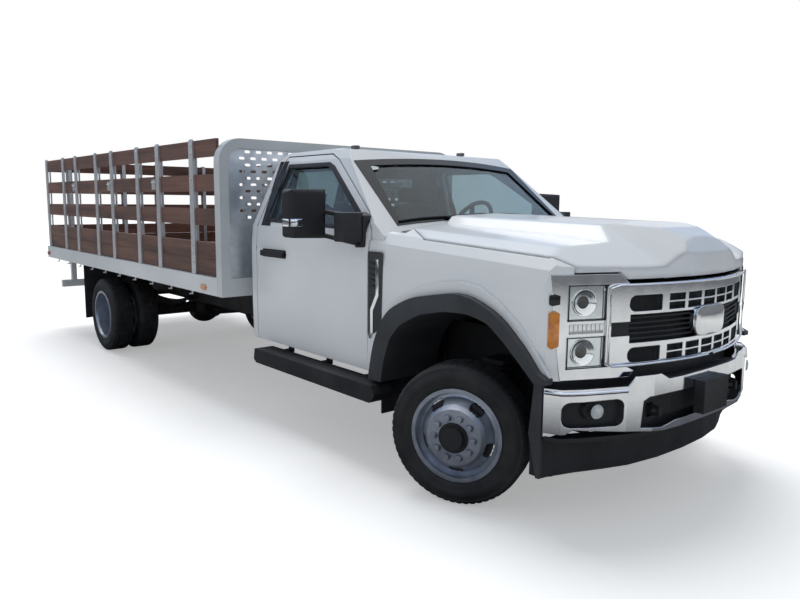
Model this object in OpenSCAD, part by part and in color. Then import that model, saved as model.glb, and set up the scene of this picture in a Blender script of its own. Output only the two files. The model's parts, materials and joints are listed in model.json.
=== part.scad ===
// Flatbed truck with a regular cab and wooden stake racks, +X forward, +Y left, +Z up.
// Every x below is measured from the front axle, every z from the ground.

/* [Chassis] */
// Distance between the front and the rear axle
wheelbase = 5215; // [5000:5:5500]
// Height of the wheel centres above the ground
axle_z = 392; // [385:1:400]
// Distance between the outer faces of the two frame rails
frame_w = 864; // [840:2:880]
// Height of a frame rail
rail_h = 250; // [230:5:260]
// Width of a frame rail's flanges
rail_flange = 76; // [66:2:86]
// Wall of the frame rails
rail_t = 9; // [7:0.5:12]
// Height of the frame's top above the ground
frame_top_z = 820; // [800:5:825]

/* [Wheels] */
// Distance between the front tyres' middles when they point straight ahead
front_track = 1900; // [1880:5:1920]
// Distance between the two tyres' middles on one rear hub
dual_spacing = 270; // [260:2:280]
// Distance between the middles of the left and the right pair of rear tyres
rear_track = 1880; // [1860:5:1890]
// Width of a tyre
tyre_w = 225; // [205:5:235]
// Diameter of a rim over its flanges
rim_d = 521; // [500:1:540]
// Circle that the wheel studs stand on
stud_pcd = 225; // [215:1:235]
// Number of wheel studs
stud_count = 10; // [6:1:10]
// Angle that the front wheels are turned to the left
steer_rest = 25; // [0:1:30]
// Distance of a kingpin from the middle of the truck
kingpin_y = 820; // [810:1:826]
// Radius of a kingpin
kingpin_r = 18; // [14:0.5:22]
// Play between a pin and its bore
pin_play = 0.05; // [0.02:0.01:0.1]
// Length of the steering arms
steer_arm = 170; // [150:5:180]

/* [Cab] */
// Distance of the cab's back behind the front axle
cab_back = 2167; // [2140:1:2200]
// Distance of a door's front edge behind the front axle
door_front = 722; // [710:1:735]
// Distance of a door's rear edge behind the front axle
door_back = 2091; // [2060:1:2100]
// Height of the cab's and doors' lower edge
sill_z = 596; // [580:1:620]
// Height of the roof's middle
roof_z = 2043; // [2010:1:2070]
// Half of the cab's width below its windows
cab_half_w = 1005; // [995:1:1012]
// Thickness of the cab's walls and doors
cab_wall = 60; // [50:1:70]
// Gap round the doors and the hood
panel_gap = 8; // [6:0.5:10]
// Thickness of the window glass
glass_t = 6; // [4:0.5:8]

/* [Front] */
// Distance of the number plate bracket's face before the front axle
nose = 1017; // [1010:1:1030]
// Thickness of the hood and the fenders
skin_t = 22; // [18:1:26]
// Half of the distance between the hood's side edges
hood_half_w = 936; // [920:1:945]
// Height of the hood's front lip
hood_lip_z = 1283; // [1270:1:1290]
// Height of the front flares' tops
flare_top = 1168; // [1150:1:1180]
// Distance between the two holes of the number plate bracket
plate_pitch = 178; // [150:1:200]
// Radius of the number plate bracket's holes
plate_hole_r = 3.5; // [2.5:0.5:5]

/* [Bed] */
// Length of the bed with its bulkhead
bed_len = 4877; // [4600:1:5000]
// Width of the bed
bed_w = 2438; // [2400:2:2460]
// Gap between the cab and the bulkhead
bed_gap = 86; // [80:1:110]
// Height of the deck's top
deck_z = 1047; // [1040:1:1060]
// Height of the bed's side rails
side_rail_h = 142; // [130:1:150]
// Thickness of the deck planks
plank_t = 37; // [30:1:40]
// Number of deck planks
plank_count = 18; // [12:1:20]
// Height of the bulkhead's top
bulkhead_top = 2112; // [2000:1:2200]
// Depth of the bulkhead's frame
bulkhead_d = 90; // [70:1:100]

/* [Racks] */
// Length from one side rack panel to the next
rack_pitch = 1190; // [1150:1:1195]
// Number of rack panels on a side
rack_count = 4; // [3:1:4]
// Width of a rack board
board_w = 133; // [120:1:140]
// Thickness of a rack board
board_t = 25; // [19:1:30]
// Height of the gap between two rack boards
board_gap = 133; // [110:1:135]
// Width of a rack post
post_w = 45; // [38:1:50]
// Thickness of a rack post's outer bar
post_t = 12; // [8:1:14]

/* [Hidden] */
$fn = 48;

// What touches without being one piece lies this far apart
seat_gap = 0.3;
tyre_r = axle_z;
rim_r = rim_d / 2;
rail_outer = frame_w / 2;
rail_inner = rail_outer - rail_flange;
rail_bottom = frame_top_z - rail_h;
wheel_offset = front_track / 2 - kingpin_y;
bed_front_x = -cab_back - bed_gap;
bed_rear_x = bed_front_x - bed_len;
front_axle_x = -(nose + bed_rear_x) / 2;
half_bed = bed_w / 2;
side_rail_z = deck_z - side_rail_h;
cab_floor_z = frame_top_z + 60;
cab_under_z = frame_top_z + 10;
rocker_in = cab_half_w - 155;
belt_z = 1456;
roof_half_w = cab_half_w - 260;
hood_rear_x = -575;
flare_out = cab_half_w + 57;
// A cutting form that reaches this far from the middle passes the truck's sides
wide = 1600;

function xy(p) = [p[0], p[1]];
function unit(v) = v / norm(v);
function inward(p, q) = let(d = unit(q - p)) [-d[1], d[0]];

// A counter-clockwise outline moved inwards by t
function inset(pts, t) = let(n = len(pts)) [for (i = [0 : n - 1])
    let(a = pts[(i + n - 1) % n], b = pts[i], c = pts[(i + 1) % n], m = inward(a, b), k = inward(b, c))
    b + (m + k) * t / (1 + m * k)];

// The arc of radius r that rounds the corner b between a and c
function corner(a, b, c, r, n) = r <= 0 ? [b] :
    let(u = unit(a - b), v = unit(c - b), h = acos(u * v) / 2, o = b + unit(u + v) * r / sin(h),
        p = b + u * r / tan(h), q = b + v * r / tan(h),
        s = atan2(p[1] - o[1], p[0] - o[0]), w = atan2(q[1] - o[1], q[0] - o[0]),
        d = ((w - s + 540) % 360) - 180)
    [for (i = [0 : n]) o + r * [cos(s + d * i / n), sin(s + d * i / n)]];

// An outline whose points are [x, y, corner radius]
function rounded(pts, n = 4) = let(k = len(pts)) [for (i = [0 : k - 1])
    each corner(xy(pts[(i + k - 1) % k]), xy(pts[i]), xy(pts[(i + 1) % k]), pts[i][2], n)];

// An outline with corner radii moved inwards by t and then rounded
function inset_round(pts, t) = let(q = inset([for (p = pts) xy(p)], t))
    rounded([for (i = [0 : len(q) - 1]) concat(q[i], pts[i][2] > t ? pts[i][2] - t : 0)]);

// A half outline [x, y] and its mirror image over the x axis, from the low side round to the high side
function both_sides(half) = concat([for (p = half) [p[0], -p[1]]],
    [for (i = [len(half) - 1 : -1 : 0]) if (half[i][1] != 0) half[i]]);

// A half outline [y, z] and its mirror image over the z axis, from the right side round to the left
function both_flanks(half) = concat([for (i = [len(half) - 1 : -1 : 0]) [-half[i][0], half[i][1]]],
    [for (p = half) if (p[0] != 0) p]);

module placed() { translate([front_axle_x, 0, 0]) children(); }
module on_side(s) { if (s > 0) children(); else mirror([0, 1, 0]) children(); }
module both() { for (s = [-1, 1]) on_side(s) children(); }

// An outline of [x, z] points, extruded from y0 to y1
module side_slab(pts, y0, y1) { translate([0, y1, 0]) rotate([90, 0, 0]) linear_extrude(y1 - y0) polygon(pts); }
// An outline of [y, z] points, extruded from x0 to x1
module front_slab(pts, x0, x1) { translate([x0, 0, 0]) rotate([90, 0, 90]) linear_extrude(x1 - x0) polygon(pts); }
// An outline of [x, y] points, extruded from z0 to z1
module plan_slab(pts, z0, z1) { translate([0, 0, z0]) linear_extrude(z1 - z0) polygon(pts); }
// A block between two opposite corners
module block(a, b) { translate(a) cube(b - a); }
// A round bar along y
module pin_y(x, z, r, y0, y1) { translate([x, y1, z]) rotate([90, 0, 0]) cylinder(r = r, h = y1 - y0); }
// A round bar along x
module pin_x(y, z, r, x0, x1) { translate([x0, y, z]) rotate([0, 90, 0]) cylinder(r = r, h = x1 - x0); }
// A bar of w by h between two points
module bar(p, q, w, h) {
    d = q - p;
    translate(p) rotate([0, -asin(d[2] / norm(d)), atan2(d[1], d[0])])
        translate([0, -w / 2, -h / 2]) cube([norm(d), w, h]);
}
// A tube of radius r between two points
module rod(p, q, r) {
    d = q - p;
    translate(p) rotate([0, acos(d[2] / norm(d)), atan2(d[1], d[0])]) cylinder(r = r, h = norm(d));
}

// Frame: two channel rails, crossmembers between their webs, and outriggers that carry the cab
frame_front_x = 740;
frame_rear_x = bed_rear_x + 80;
overhang = -wheelbase - frame_rear_x;
// Each crossmember: place along x, bottom and top above the rails' bottom
crossmembers = [[690, 5, 60], [-1000, 5, 54], [-2000, 180, 241], [-0.61 * wheelbase, 180, 241],
    [-0.82 * wheelbase, 180, 241], [-wheelbase - 0.37 * overhang, 30, 180], [-wheelbase - 0.92 * overhang, 30, 180]];
outrigger_x = [-900, -2040];
// A channel with its web at outer and its flanges to the low side, or for way -1 to the high side
function channel(outer, z0, z1, flange, t, way = 1) = let(tip = outer - way * flange, web = outer - way * t)
    [[outer, z0], [outer, z1], [tip, z1], [tip, z1 - t], [web, z1 - t], [web, z0 + t], [tip, z0 + t], [tip, z0]];
module frame() {
    color("dimgray") {
        both() front_slab(channel(rail_outer, rail_bottom, frame_top_z, rail_flange, rail_t),
            frame_rear_x, frame_front_x);
        for (c = crossmembers)
            block([c[0] - 40, -rail_outer + rail_t, rail_bottom + c[1]],
                [c[0] + 40, rail_outer - rail_t, rail_bottom + c[2]]);
        for (x = outrigger_x) both() {
            block([x - 50, rail_outer, frame_top_z - 60], [x + 50, 700, frame_top_z]);
            translate([x, 620, frame_top_z]) cylinder(r = 40, h = cab_under_z - frame_top_z - seat_gap);
        }
    }
}

// Front axle: a beam with an eye for each kingpin
beam_h = 80;
eye_h = 90;
eye_r = 42;
module front_axle() {
    color("dimgray") difference() {
        union() {
            block([-38, -620, axle_z - beam_h / 2], [38, 620, axle_z + beam_h / 2]);
            both() {
                block([-32, 600, axle_z - 34], [32, kingpin_y, axle_z + 34]);
                translate([0, kingpin_y, axle_z - eye_h / 2]) cylinder(r = eye_r, h = eye_h);
            }
        }
        both() translate([0, kingpin_y, axle_z - eye_h])
            cylinder(r = kingpin_r + pin_play, h = 2 * eye_h);
    }
}

// Front suspension: a coil spring on each side and a radius arm that runs back to the frame
coil_y = 560;
coil_top_z = 720;
module front_suspension() {
    color("dimgray") both() {
        for (i = [0 : 6])
            translate([0, coil_y, axle_z + beam_h / 2 + 20 + i * 40]) rotate_extrude()
                translate([52, 0]) circle(r = 11, $fn = 16);
        translate([0, coil_y, axle_z + beam_h / 2]) cylinder(r = 45, h = coil_top_z - axle_z - beam_h / 2);
        block([-80, rail_outer, coil_top_z], [80, coil_y + 80, coil_top_z + 24]);
        bar([-60, coil_y - 30, axle_z], [-900, rail_outer + 32, rail_bottom + 20], 44, 60);
        block([-74, coil_y - 60, axle_z - 30], [-38, coil_y - 4, axle_z + 30]);
        block([-930, rail_outer, rail_bottom - 10], [-870, rail_outer + 60, rail_bottom + 60]);
    }
}

// Rear axle: a tube with the differential's housing in its middle and a spindle in each wheel hub
rear_tube_end = 640;
rear_tube_r = 62;
spindle_rear_r = 45;
pinion_x = 300;
module rear_axle() {
    color("dimgray") translate([-wheelbase, 0, axle_z]) {
        rotate([90, 0, 0]) cylinder(r = rear_tube_r, h = 2 * rear_tube_end, center = true);
        intersection() {
            sphere(r = 190);
            cube([380, 300, 380], center = true);
        }
        translate([0, 0, -20]) rotate([0, 90, 0]) cylinder(r = 75, h = pinion_x);
        both() {
            pin_y(0, 0, spindle_rear_r, rear_tube_end - 1, rear_track / 2 + 40);
            pin_y(0, 0, 150, rear_tube_end - 12, rear_tube_end);
        }
    }
}

// Rear springs: a pack of leaves on each side with its hangers
leaf_y = 470;
leaf_half = 760;
leaf_rise = 90;
leaf_w = 76;
leaf_t = 13;
// Leaf i of 0 to 4, from the shortest up: it reaches 4 + i eighths of the way to the eyes
function leaf_point(k, z) = [k / 8 * leaf_half, z + leaf_rise * pow(k / 8, 2)];
function leaf(i, z) = concat([for (k = [-4 - i : 4 + i]) leaf_point(k, z)],
    [for (k = [4 + i : -1 : -4 - i]) leaf_point(k, z + leaf_t)]);
module rear_springs() {
    z0 = axle_z + rear_tube_r;
    color("dimgray") translate([-wheelbase, 0, 0]) both() {
        for (i = [0 : 4])
            side_slab(leaf(i, z0 + 10 + i * leaf_t), leaf_y, leaf_y + leaf_w);
        difference() {
            block([-70, leaf_y - 10, axle_z + 30], [70, leaf_y + leaf_w + 10, z0 + 12]);
            pin_y(0, axle_z, rear_tube_r + seat_gap, 0, 1000);
        }
        for (x = [-leaf_half, leaf_half]) {
            pin_y(x, z0 + 10 + 4 * leaf_t + leaf_rise + 5, 24, leaf_y, leaf_y + leaf_w);
            block([x - 30, rail_outer, z0 + 60 + leaf_rise], [x + 30, leaf_y, frame_top_z - 120]);
            block([x - 30, rail_outer, frame_top_z - 160], [x + 30, leaf_y + leaf_w, frame_top_z - 120]);
        }
    }
}

// Driveline: gearbox and two shafts that lead to the rear axle
bearing_x = crossmembers[3][0] + 70;
module driveline() {
    color("dimgray") {
        front_slab(rounded([[-160, 624, 60], [160, 624, 60], [190, 790, 40], [-190, 790, 40]]), -1150, engine_rear_x);
        rod([-1149, 0, 690], [bearing_x - 40, 0, 660], 48);
        rod([bearing_x + 10, 0, 660], [-wheelbase + pinion_x + 14, 0, axle_z - 18], 48);
        pin_x(0, axle_z - 20, 60, -wheelbase + pinion_x + seat_gap, -wheelbase + pinion_x + 40);
        rod([bearing_x + 50, 0, 661], [bearing_x - 30, 0, 660], 70);
    }
}

// Fuel tank between the rails behind the rear axle
module fuel_tank() {
    color("black") front_slab(rounded([[-330, 470, 50], [330, 470, 50], [330, 760, 20], [-330, 760, 20]]),
        crossmembers[6][0] + 40, crossmembers[5][0] - 40);
}

// Engine, as the block that its mass fills
engine_rear_x = -450;
engine_half_w = 290;
module engine_block() {
    color("slategray") {
        block([engine_rear_x, -engine_half_w, rail_bottom + 150], [520, engine_half_w, 1290]);
        both() block([60, engine_half_w, frame_top_z], [180, rail_outer - 20, frame_top_z + 30]);
    }
}

// Radiator behind the grille, with the panel that it hangs in, the hood's rubber stops and the grille's bars
support_x = 630;
support_t = 20;
support_half = cab_half_w - 75;
module radiator() {
    color("black") {
        block([support_x, -rail_inner + 4, rail_bottom + 60], [725, rail_inner - 4, 1225]);
        block([support_x, -support_half, 1180], [support_x + support_t, support_half, 1225]);
        both() {
            block([support_x, rail_inner - 5, frame_top_z], [support_x + support_t, rail_outer, 1181]);
            intersection() {
                translate([support_x + 10, 800, 1224]) cylinder(r = 10, h = 400);
                front_solid(skin_t + seat_gap);
            }
        }
        intersection() {
            shell_slab(10, 22);
            union() {
                for (i = [0 : 4])
                    block([500, -middle_half + seat_gap, 981 + i * 26], [1100, middle_half - seat_gap, 990 + i * 26]);
                both() block([500, middle_half - 10, wing_z[0] + seat_gap],
                    [1100, wing_half - seat_gap, wing_z[1] - seat_gap]);
            }
        }
    }
}

// Cab: one outline from the side and one from the front, met by the windscreen's bow
screen_base = [-600, 1530];
firewall_x = -700;
firewall_z = 1100;
pillar_y = cab_half_w - skin_t - 12;
screen_top = [-1165, 1990];
screen_angle = atan2(screen_top[1] - screen_base[1], screen_base[0] - screen_top[0]);
screen_bow_r = 6700;
function cab_side(t) = inset_round([[-cab_back, sill_z - 60, 0], [firewall_x, sill_z - 60, 0], [firewall_x, firewall_z, 0],
    [screen_base[0], 1380, 0], concat(screen_base, 0), concat(screen_top, 160), [-1700, roof_z, 900],
    [-2090, 1990, 120], [-cab_back, 1450, 200]], t);
function cab_section(t) = inset(both_flanks([[cab_half_w - 12, sill_z - 200], [cab_half_w, 860],
    [cab_half_w, 1300], [cab_half_w - 12, belt_z], [roof_half_w + 55, 1934], [roof_half_w, 2004],
    [roof_half_w - 145, 2027], [roof_half_w - 445, roof_z - 4], [0, roof_z]]), t);
// The windscreen's bow: the outline that is swept along the windscreen's slope
screen_plan = concat([[-4000, wide], [-4000, -wide]], [for (i = [-6 : 6])
    [screen_bow_r * (cos(i * 2) - 1), screen_bow_r * sin(i * 2)]]);
module cab_sides(t) { front_slab(cab_section(t), -2400, -500); }
module cab_solid(t) {
    intersection() {
        side_slab(cab_side(t), -wide, wide);
        cab_sides(t);
        translate([screen_base[0], 0, screen_base[1]]) rotate([0, -(90 - screen_angle), 0])
            plan_slab(inset(screen_plan, t), -1600, 1600);
    }
}

// Heights of the hinge leaves that bridge the gap before each door
hinge_z = [780, 1290];

// Outlines of a door, its window, the windscreen and the rear window
door_outline = [[-door_front, sill_z], [-door_front, 1470], [-780, 1575], [-1300, 1925], [-1420, 1968],
    [-1990, 1968], [-2040, 1780], [-door_back, 1456], [-door_back, sill_z]];
function door_face(t) = inset(door_outline, t);
window_outline = [[-840, 1545, 30], [-1330, 1872, 60], [-1400, 1900, 80], [-1920, 1900, 50], [-1985, 1500, 40],
    [-880, 1478, 30]];
function window_face(t) = inset(rounded(window_outline), t);
screen_w_low = cab_half_w - 185;
screen_w_top = cab_half_w - 285;
screen_h = 640;
module screen_cut(t) {
    translate([screen_base[0], 0, screen_base[1]]) rotate([0, -(90 - screen_angle), 0])
        front_slab(rounded([[-screen_w_low + t, 20 + t, 50], [screen_w_low - t, 20 + t, 50],
            [screen_w_top - t, screen_h - t, 60], [-screen_w_top + t, screen_h - t, 60]]), -260, 200);
}
module rear_window_cut(t) {
    front_slab(rounded([[-620 + t, 1500 + t, 60], [620 - t, 1500 + t, 60], [590 - t, 1860 - t, 60],
        [-590 + t, 1860 - t, 60]]), -2300, -1990);
}
module cab_shell() {
    color("white") difference() {
        cab_solid(0);
        intersection() {
            cab_solid(cab_wall);
            block([-2400, -wide, cab_floor_z], [-500, wide, 2200]);
        }
        block([-2400, -rocker_in, 0], [-500, rocker_in, cab_under_z]);
        difference() {
            side_slab(door_face(-panel_gap), -wide, wide);
            cab_sides(cab_wall + panel_gap);
            for (z = hinge_z) block([-door_front + seat_gap, -pillar_y, z], [firewall_x, pillar_y, z + 60]);
        }
        both() block([-door_front - panel_gap - 1, pillar_y, 0], [-400, wide, belt_z + 60]);
        block([-2400, -wide, 0], [-400, wide, sill_z]);
        screen_cut(0);
        rear_window_cut(0);
    }
}

// Windscreen and rear window, each following the cab's surface
module cab_glass() {
    color("lightslategray") {
        intersection() {
            difference() {
                cab_solid(8);
                cab_solid(8 + glass_t);
            }
            union() {
                screen_cut(seat_gap);
                rear_window_cut(seat_gap);
            }
        }
    }
}

cowl_half_w = cab_half_w - 105;
// Cowl: the black panel between the hood and the windscreen
module cowl() {
    color("black") intersection() {
        block([screen_base[0] + seat_gap, -cowl_half_w, 1420], [-480, cowl_half_w, 1600]);
        front_solid(skin_t + 5);
    }
}

dash_x = firewall_x - cab_wall - seat_gap;
// Dashboard with the steering column and its wheel
module dashboard() {
    color("dimgray") {
        side_slab(rounded([[-1050, 1180, 40], [dash_x, 1180, 0], [dash_x, 1440, 20], [-900, 1490, 60],
            [-1050, 1470, 60]]), -cab_half_w + 90, cab_half_w - 90);
        block([dash_x - 40, -300, 1000], [dash_x, 300, 1181]);
        rod([-1000, 400, 1370], [-1190, 400, 1480], 32);
        translate([-1190, 400, 1480]) rotate([0, -60, 0]) {
            rotate_extrude() translate([190, 0]) circle(r = 16, $fn = 20);
            translate([0, 0, -14]) cylinder(r = 60, h = 24);
            for (a = [0, 120, 240]) rotate([0, 0, a + 90]) translate([0, -18, -10]) cube([188, 36, 16]);
        }
    }
}

// Seats: two outer places and the middle one, each with a cushion, a back and a headrest
module seats() {
    color("darkslategray") for (y = [-430, 0, 430]) {
        w = y == 0 ? 150 : 250;
        side_slab(rounded([[-1900, cab_floor_z, 20], [-1400, cab_floor_z, 20], [-1340, 1150, 60],
            [-1840, 1130, 20]]), y - w + 5, y + w - 5);
        side_slab(rounded([[-1900, 1080, 40], [-1720, 1080, 40], [-1860, 1510, 60], [-2010, 1510, 60]]),
            y - w + 5, y + w - 5);
        if (y != 0) side_slab(rounded([[-2000, 1490, 20], [-1890, 1490, 20], [-1870, 1560, 40],
            [-1890, 1660, 40], [-1990, 1660, 40]]), y - 130, y + 130);
    }
}

// Front body: a broad form with a raised dome, both within one outline from the side, one from above and
// one that rounds the hood's nose
// Each point of the outline from above is [x, share of the cab's half width]
front_plan_shares = [[600, 1], [650, 0.985], [690, 0.935], [745, 0.806], [805, 0.662], [860, 0.507], [905, 0.338],
    [933, 0.179], [945, 0]];
front_x = 945;
fender_back_x = -714;
body_half = [[cab_half_w, 300], [cab_half_w, 1240], [cab_half_w - 18, 1380], [hood_half_w, 1440], [830, 1478],
    [530, 1500], [0, 1512]];
dome_half = [[560, 300], [560, 1440], [440, 1548], [400, 1556], [0, 1568]];
section_x = -276;
section_z = 1440;
body_slope = 3;
dome_slope = 1.2;
// The nose's outline is true at nose_x and slopes down forwards from there
nose_half = [[1300, -900], [1300, 1100], [972, 1222], [645, 1290], [382, 1337], [292, 1397], [180, 1450], [0, 1474]];
nose_x = 900;
nose_z = 1400;
nose_slope = 30;
module front_section(half, slope, t, open) {
    translate([section_x, 0, section_z]) rotate([0, slope, 0]) translate([-section_x, 0, -section_z])
        front_slab(inset(both_flanks([for (p = half) [p[0], p[1] - (p[1] == 300 ? open : 0)]]), t), -1200, 1400);
}
module front_solid(t) {
    open = t > 0 ? 300 : 0;
    back = fender_back_x - open;
    low = 500 - open;
    intersection() {
        side_slab(inset([[back, low], [front_x, low], [front_x, hood_lip_z], [930, 1400], [875, 1478], [754, 1524],
            [434, 1556], [hood_rear_x, 1576], [back, 1578]], t), -wide, wide);
        plan_slab(inset(both_sides(concat([[back, cab_half_w]],
            [for (p = front_plan_shares) [p[0], p[1] * cab_half_w]])), t), 200 - open, 1700);
        translate([nose_x, 0, nose_z]) rotate([0, nose_slope, 0])
            front_slab(inset(both_flanks([for (p = nose_half) [p[0], (p[1] - nose_z) * cos(nose_slope)]]), t),
                -2600, 600);
        union() {
            front_section(body_half, body_slope, t, open);
            front_section(dome_half, dome_slope, t, open);
        }
    }
}

// Hood: its lower edge runs over the grille, and higher over the headlamps
lamp_top_z = 1312;
hood_corner_z = lamp_top_z + panel_gap;
lamp_tip_y = 645;
function hood_plan(t) = inset(both_sides([[hood_rear_x, 0], [hood_rear_x + 15, 600], [-506, 820],
    [-276, hood_half_w], [610, hood_half_w], [722, hood_half_w - 68], [1010, hood_half_w - 68], [1010, 0]]), t);
hood_front_half = [[lamp_tip_y - 45, hood_lip_z], [lamp_tip_y, hood_corner_z], [wide, hood_corner_z], [wide, 1700],
    [0, 1700]];
module hood() {
    color("white") intersection() {
        difference() {
            front_solid(0);
            front_solid(skin_t);
        }
        plan_slab(hood_plan(0), hood_lip_z, 1700);
        front_slab(both_flanks(hood_front_half), hood_rear_x - 10, 1100);
    }
}

// Fenders: the side panels with their wheel openings
// The line where a fender ends and the headlamp begins, moved forwards by t
lamp_low_z = 795;
function lamp_side(t) = [[694 + t, lamp_low_z + t], [1100, lamp_low_z + t], [1100, lamp_top_z - t],
    [655 + t, lamp_top_z - t]];
fender_in = cab_half_w - 305;
fender_foot_z = 800;
// The outlines of a flare's outer edge, of the wheel opening within it, and of the raised lip above it
arch_outer = [[-642, 300, 0], [707, 300, 0], [707, 825, 0], [650, 850, 40], [560, 950, 600],
    [400, flare_top - 78, 500], [150, flare_top + 17, 450], [-265, flare_top - 56, 700], [-480, 1005, 300],
    [-590, 810, 600], [-642, 569, 0]];
arch_inner = [[-545, 300, 0], [650, 300, 0], [650, 800, 0], [542, 894, 400], [444, 977, 300],
    [330, flare_top - 112, 200], [190, flare_top - 84, 300], [17, flare_top - 92, 500], [-182, flare_top - 134, 400],
    [-353, 950, 200], [-442, 856, 200], [-499, 712, 400], [-545, 480, 0]];
arch_lip = [[701, 827], [599, 948], [502, 1056], [369, 1151], [230, 1218], [86, flare_top + 66], [-67, 1216],
    [-229, 1173], [-402, 1095], [-540, 1002]];
module fenders() {
    color("white") both() difference() {
        intersection() {
            front_solid(0);
            union() {
                difference() {
                    block([fender_back_x, fender_in, sill_z], [735, wide, 1700]);
                    front_solid(skin_t);
                }
                block([firewall_x + seat_gap, fender_in, sill_z + 4], [firewall_x + 20, cab_half_w - 15, firewall_z - 5]);
            }
        }
        block([-1000, 0, 0], [firewall_x + seat_gap, pillar_y + seat_gap, firewall_z]);
        block([-1000, 0, firewall_z - 5], [screen_base[0] + seat_gap, pillar_y + seat_gap, 1800]);
        block([-1000, 0, 1400], [-480, cowl_half_w + 5, 1800]);
        plan_slab(hood_plan(-panel_gap), lamp_top_z, 1800);
        side_slab(lamp_side(0), 500, wide);
        block([470, 500, 0], [1000, wide, fender_foot_z]);
        side_slab(inset(rounded(arch_inner), -seat_gap), 600, wide);
    }
    color("white") both() difference() {
        side_slab(arch_lip, cab_half_w - 1, cab_half_w + 18);
        side_slab(inset(rounded(arch_outer), -seat_gap), cab_half_w - 5, wide);
    }
}

// Flares round the wheel openings, with the panel before them, the liner behind them and the vent by the door
module fender_flares() {
    color("dimgray") both() {
        difference() {
            union() {
                side_slab(rounded(arch_outer), cab_half_w, flare_out);
                side_slab(rounded(arch_inner), 610, cab_half_w + 1);
            }
            side_slab(inset(rounded(arch_inner), 10), 500, wide);
            block([-2000, 0, 0], [2000, wide, 570]);
            block([400, 0, 0], [2000, wide, fender_foot_z]);
        }
        side_slab([[560, 520], [612, 305], [634, 305], [634, fender_foot_z - seat_gap], [588, fender_foot_z - seat_gap]],
            cab_half_w - 34, cab_half_w - 14);
        side_slab(rounded([[-708, 815, 10], [-580, 880, 30], [-566, 1345, 20], [-708, 1345, 10]]),
            cab_half_w, cab_half_w + 4);
    }
}

// Grille: a bowed chrome frame with a row of slots above and below its middle opening, and a blank pad on it
grille_half = 716;
grille_z = [855, 1262];
slot_rows = [[866, 943], [1122, 1203]];
slot_places = [[82, 202], [224, 344]];
long_slot = [388, 590];
middle_half = 583;
middle_z = [965, 1108];
wing_half = 700;
wing_z = [1003, 1073];
pad_half = [165, 94];
pad_z = 1055;
module shell_slab(t0, t1) { difference() { front_solid(t0); front_solid(t1); } }
// A slot in the grille between y0 and y1 in the row r, split into two by a bar
module split_slot(y0, y1, r) {
    mid = (r[0] + r[1]) / 2;
    block([500, y0, r[0]], [1200, y1, mid - 4]);
    block([500, y0, mid + 4], [1200, y1, r[1]]);
}
module grille() {
    color("silver") {
        intersection() {
            shell_slab(-4, 26);
            difference() {
                front_slab(rounded([[-grille_half, grille_z[0], 30], [grille_half, grille_z[0], 30],
                    [grille_half, grille_z[1], 30], [-grille_half, grille_z[1], 30]]), 500, 1100);
                for (r = slot_rows) {
                    split_slot(-60, 60, r);
                    both() {
                        for (c = slot_places) split_slot(c[0], c[1], r);
                        front_slab(rounded([[long_slot[0], r[0], 10], [long_slot[1], r[0], 36],
                            [long_slot[1], r[1], 36], [long_slot[0], r[1], 10]]), 500, 1200);
                    }
                }
                block([500, -middle_half, middle_z[0]], [1200, middle_half, middle_z[1]]);
                block([500, -wing_half, wing_z[0]], [1200, wing_half, wing_z[1]]);
            }
        }
        intersection() {
            shell_slab(-14, 10 - seat_gap);
            front_slab(rounded([[-pad_half[0], pad_z - pad_half[1], 90], [pad_half[0], pad_z - pad_half[1], 90],
                [pad_half[0], pad_z + pad_half[1], 90], [-pad_half[0], pad_z + pad_half[1], 90]], 8), 600, 1100);
            block([600, -pad_half[0], middle_z[0] + seat_gap], [1100, pad_half[0], middle_z[1] - seat_gap]);
        }
    }
}

// Headlamps: a C-shaped chrome bezel on each side with a strip through its middle, and two lamps behind lenses
lamp_in = grille_half + seat_gap;
lamp_out = cab_half_w - 95;
lens_z = [grille_z[0] - seat_gap, grille_z[1] + seat_gap];
strip_z = [1010, 1088];
lens_fields = [[lens_z[0], strip_z[0]], [strip_z[1], lens_z[1]]];
bowl_r = 120;
module headlamps() {
    color("gainsboro") both() {
        intersection() {
            shell_slab(-3, 30);
            side_slab(lamp_side(seat_gap), 500, wide);
            union() {
                front_slab([[548, 826], [576, 797], [wide, 812], [wide, lamp_top_z], [lamp_tip_y, lamp_top_z],
                    [lamp_tip_y - 52, lens_z[1]], [lamp_out, lens_z[1]], [lamp_out, lens_z[0]], [600, lens_z[0]]],
                    500, 1100);
                block([500, lamp_in, strip_z[0]], [1100, lamp_out + 1, strip_z[1]]);
            }
        }
        for (f = lens_fields) {
            intersection() {
                shell_slab(2, 6);
                side_slab(lamp_side(seat_gap), 500, wide);
                block([500, lamp_in, f[0] + seat_gap], [1100, lamp_out - seat_gap, f[1] - seat_gap]);
            }
            difference() {
                intersection() {
                    shell_slab(10, 34);
                    side_slab(lamp_side(seat_gap), 500, wide);
                    block([500, lamp_in, f[0] + seat_gap], [1100, lamp_out - seat_gap, f[1] - seat_gap]);
                }
                translate([827, cab_half_w - 144, (f[0] + f[1]) / 2]) sphere(r = bowl_r);
            }
        }
    }
}

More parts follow.
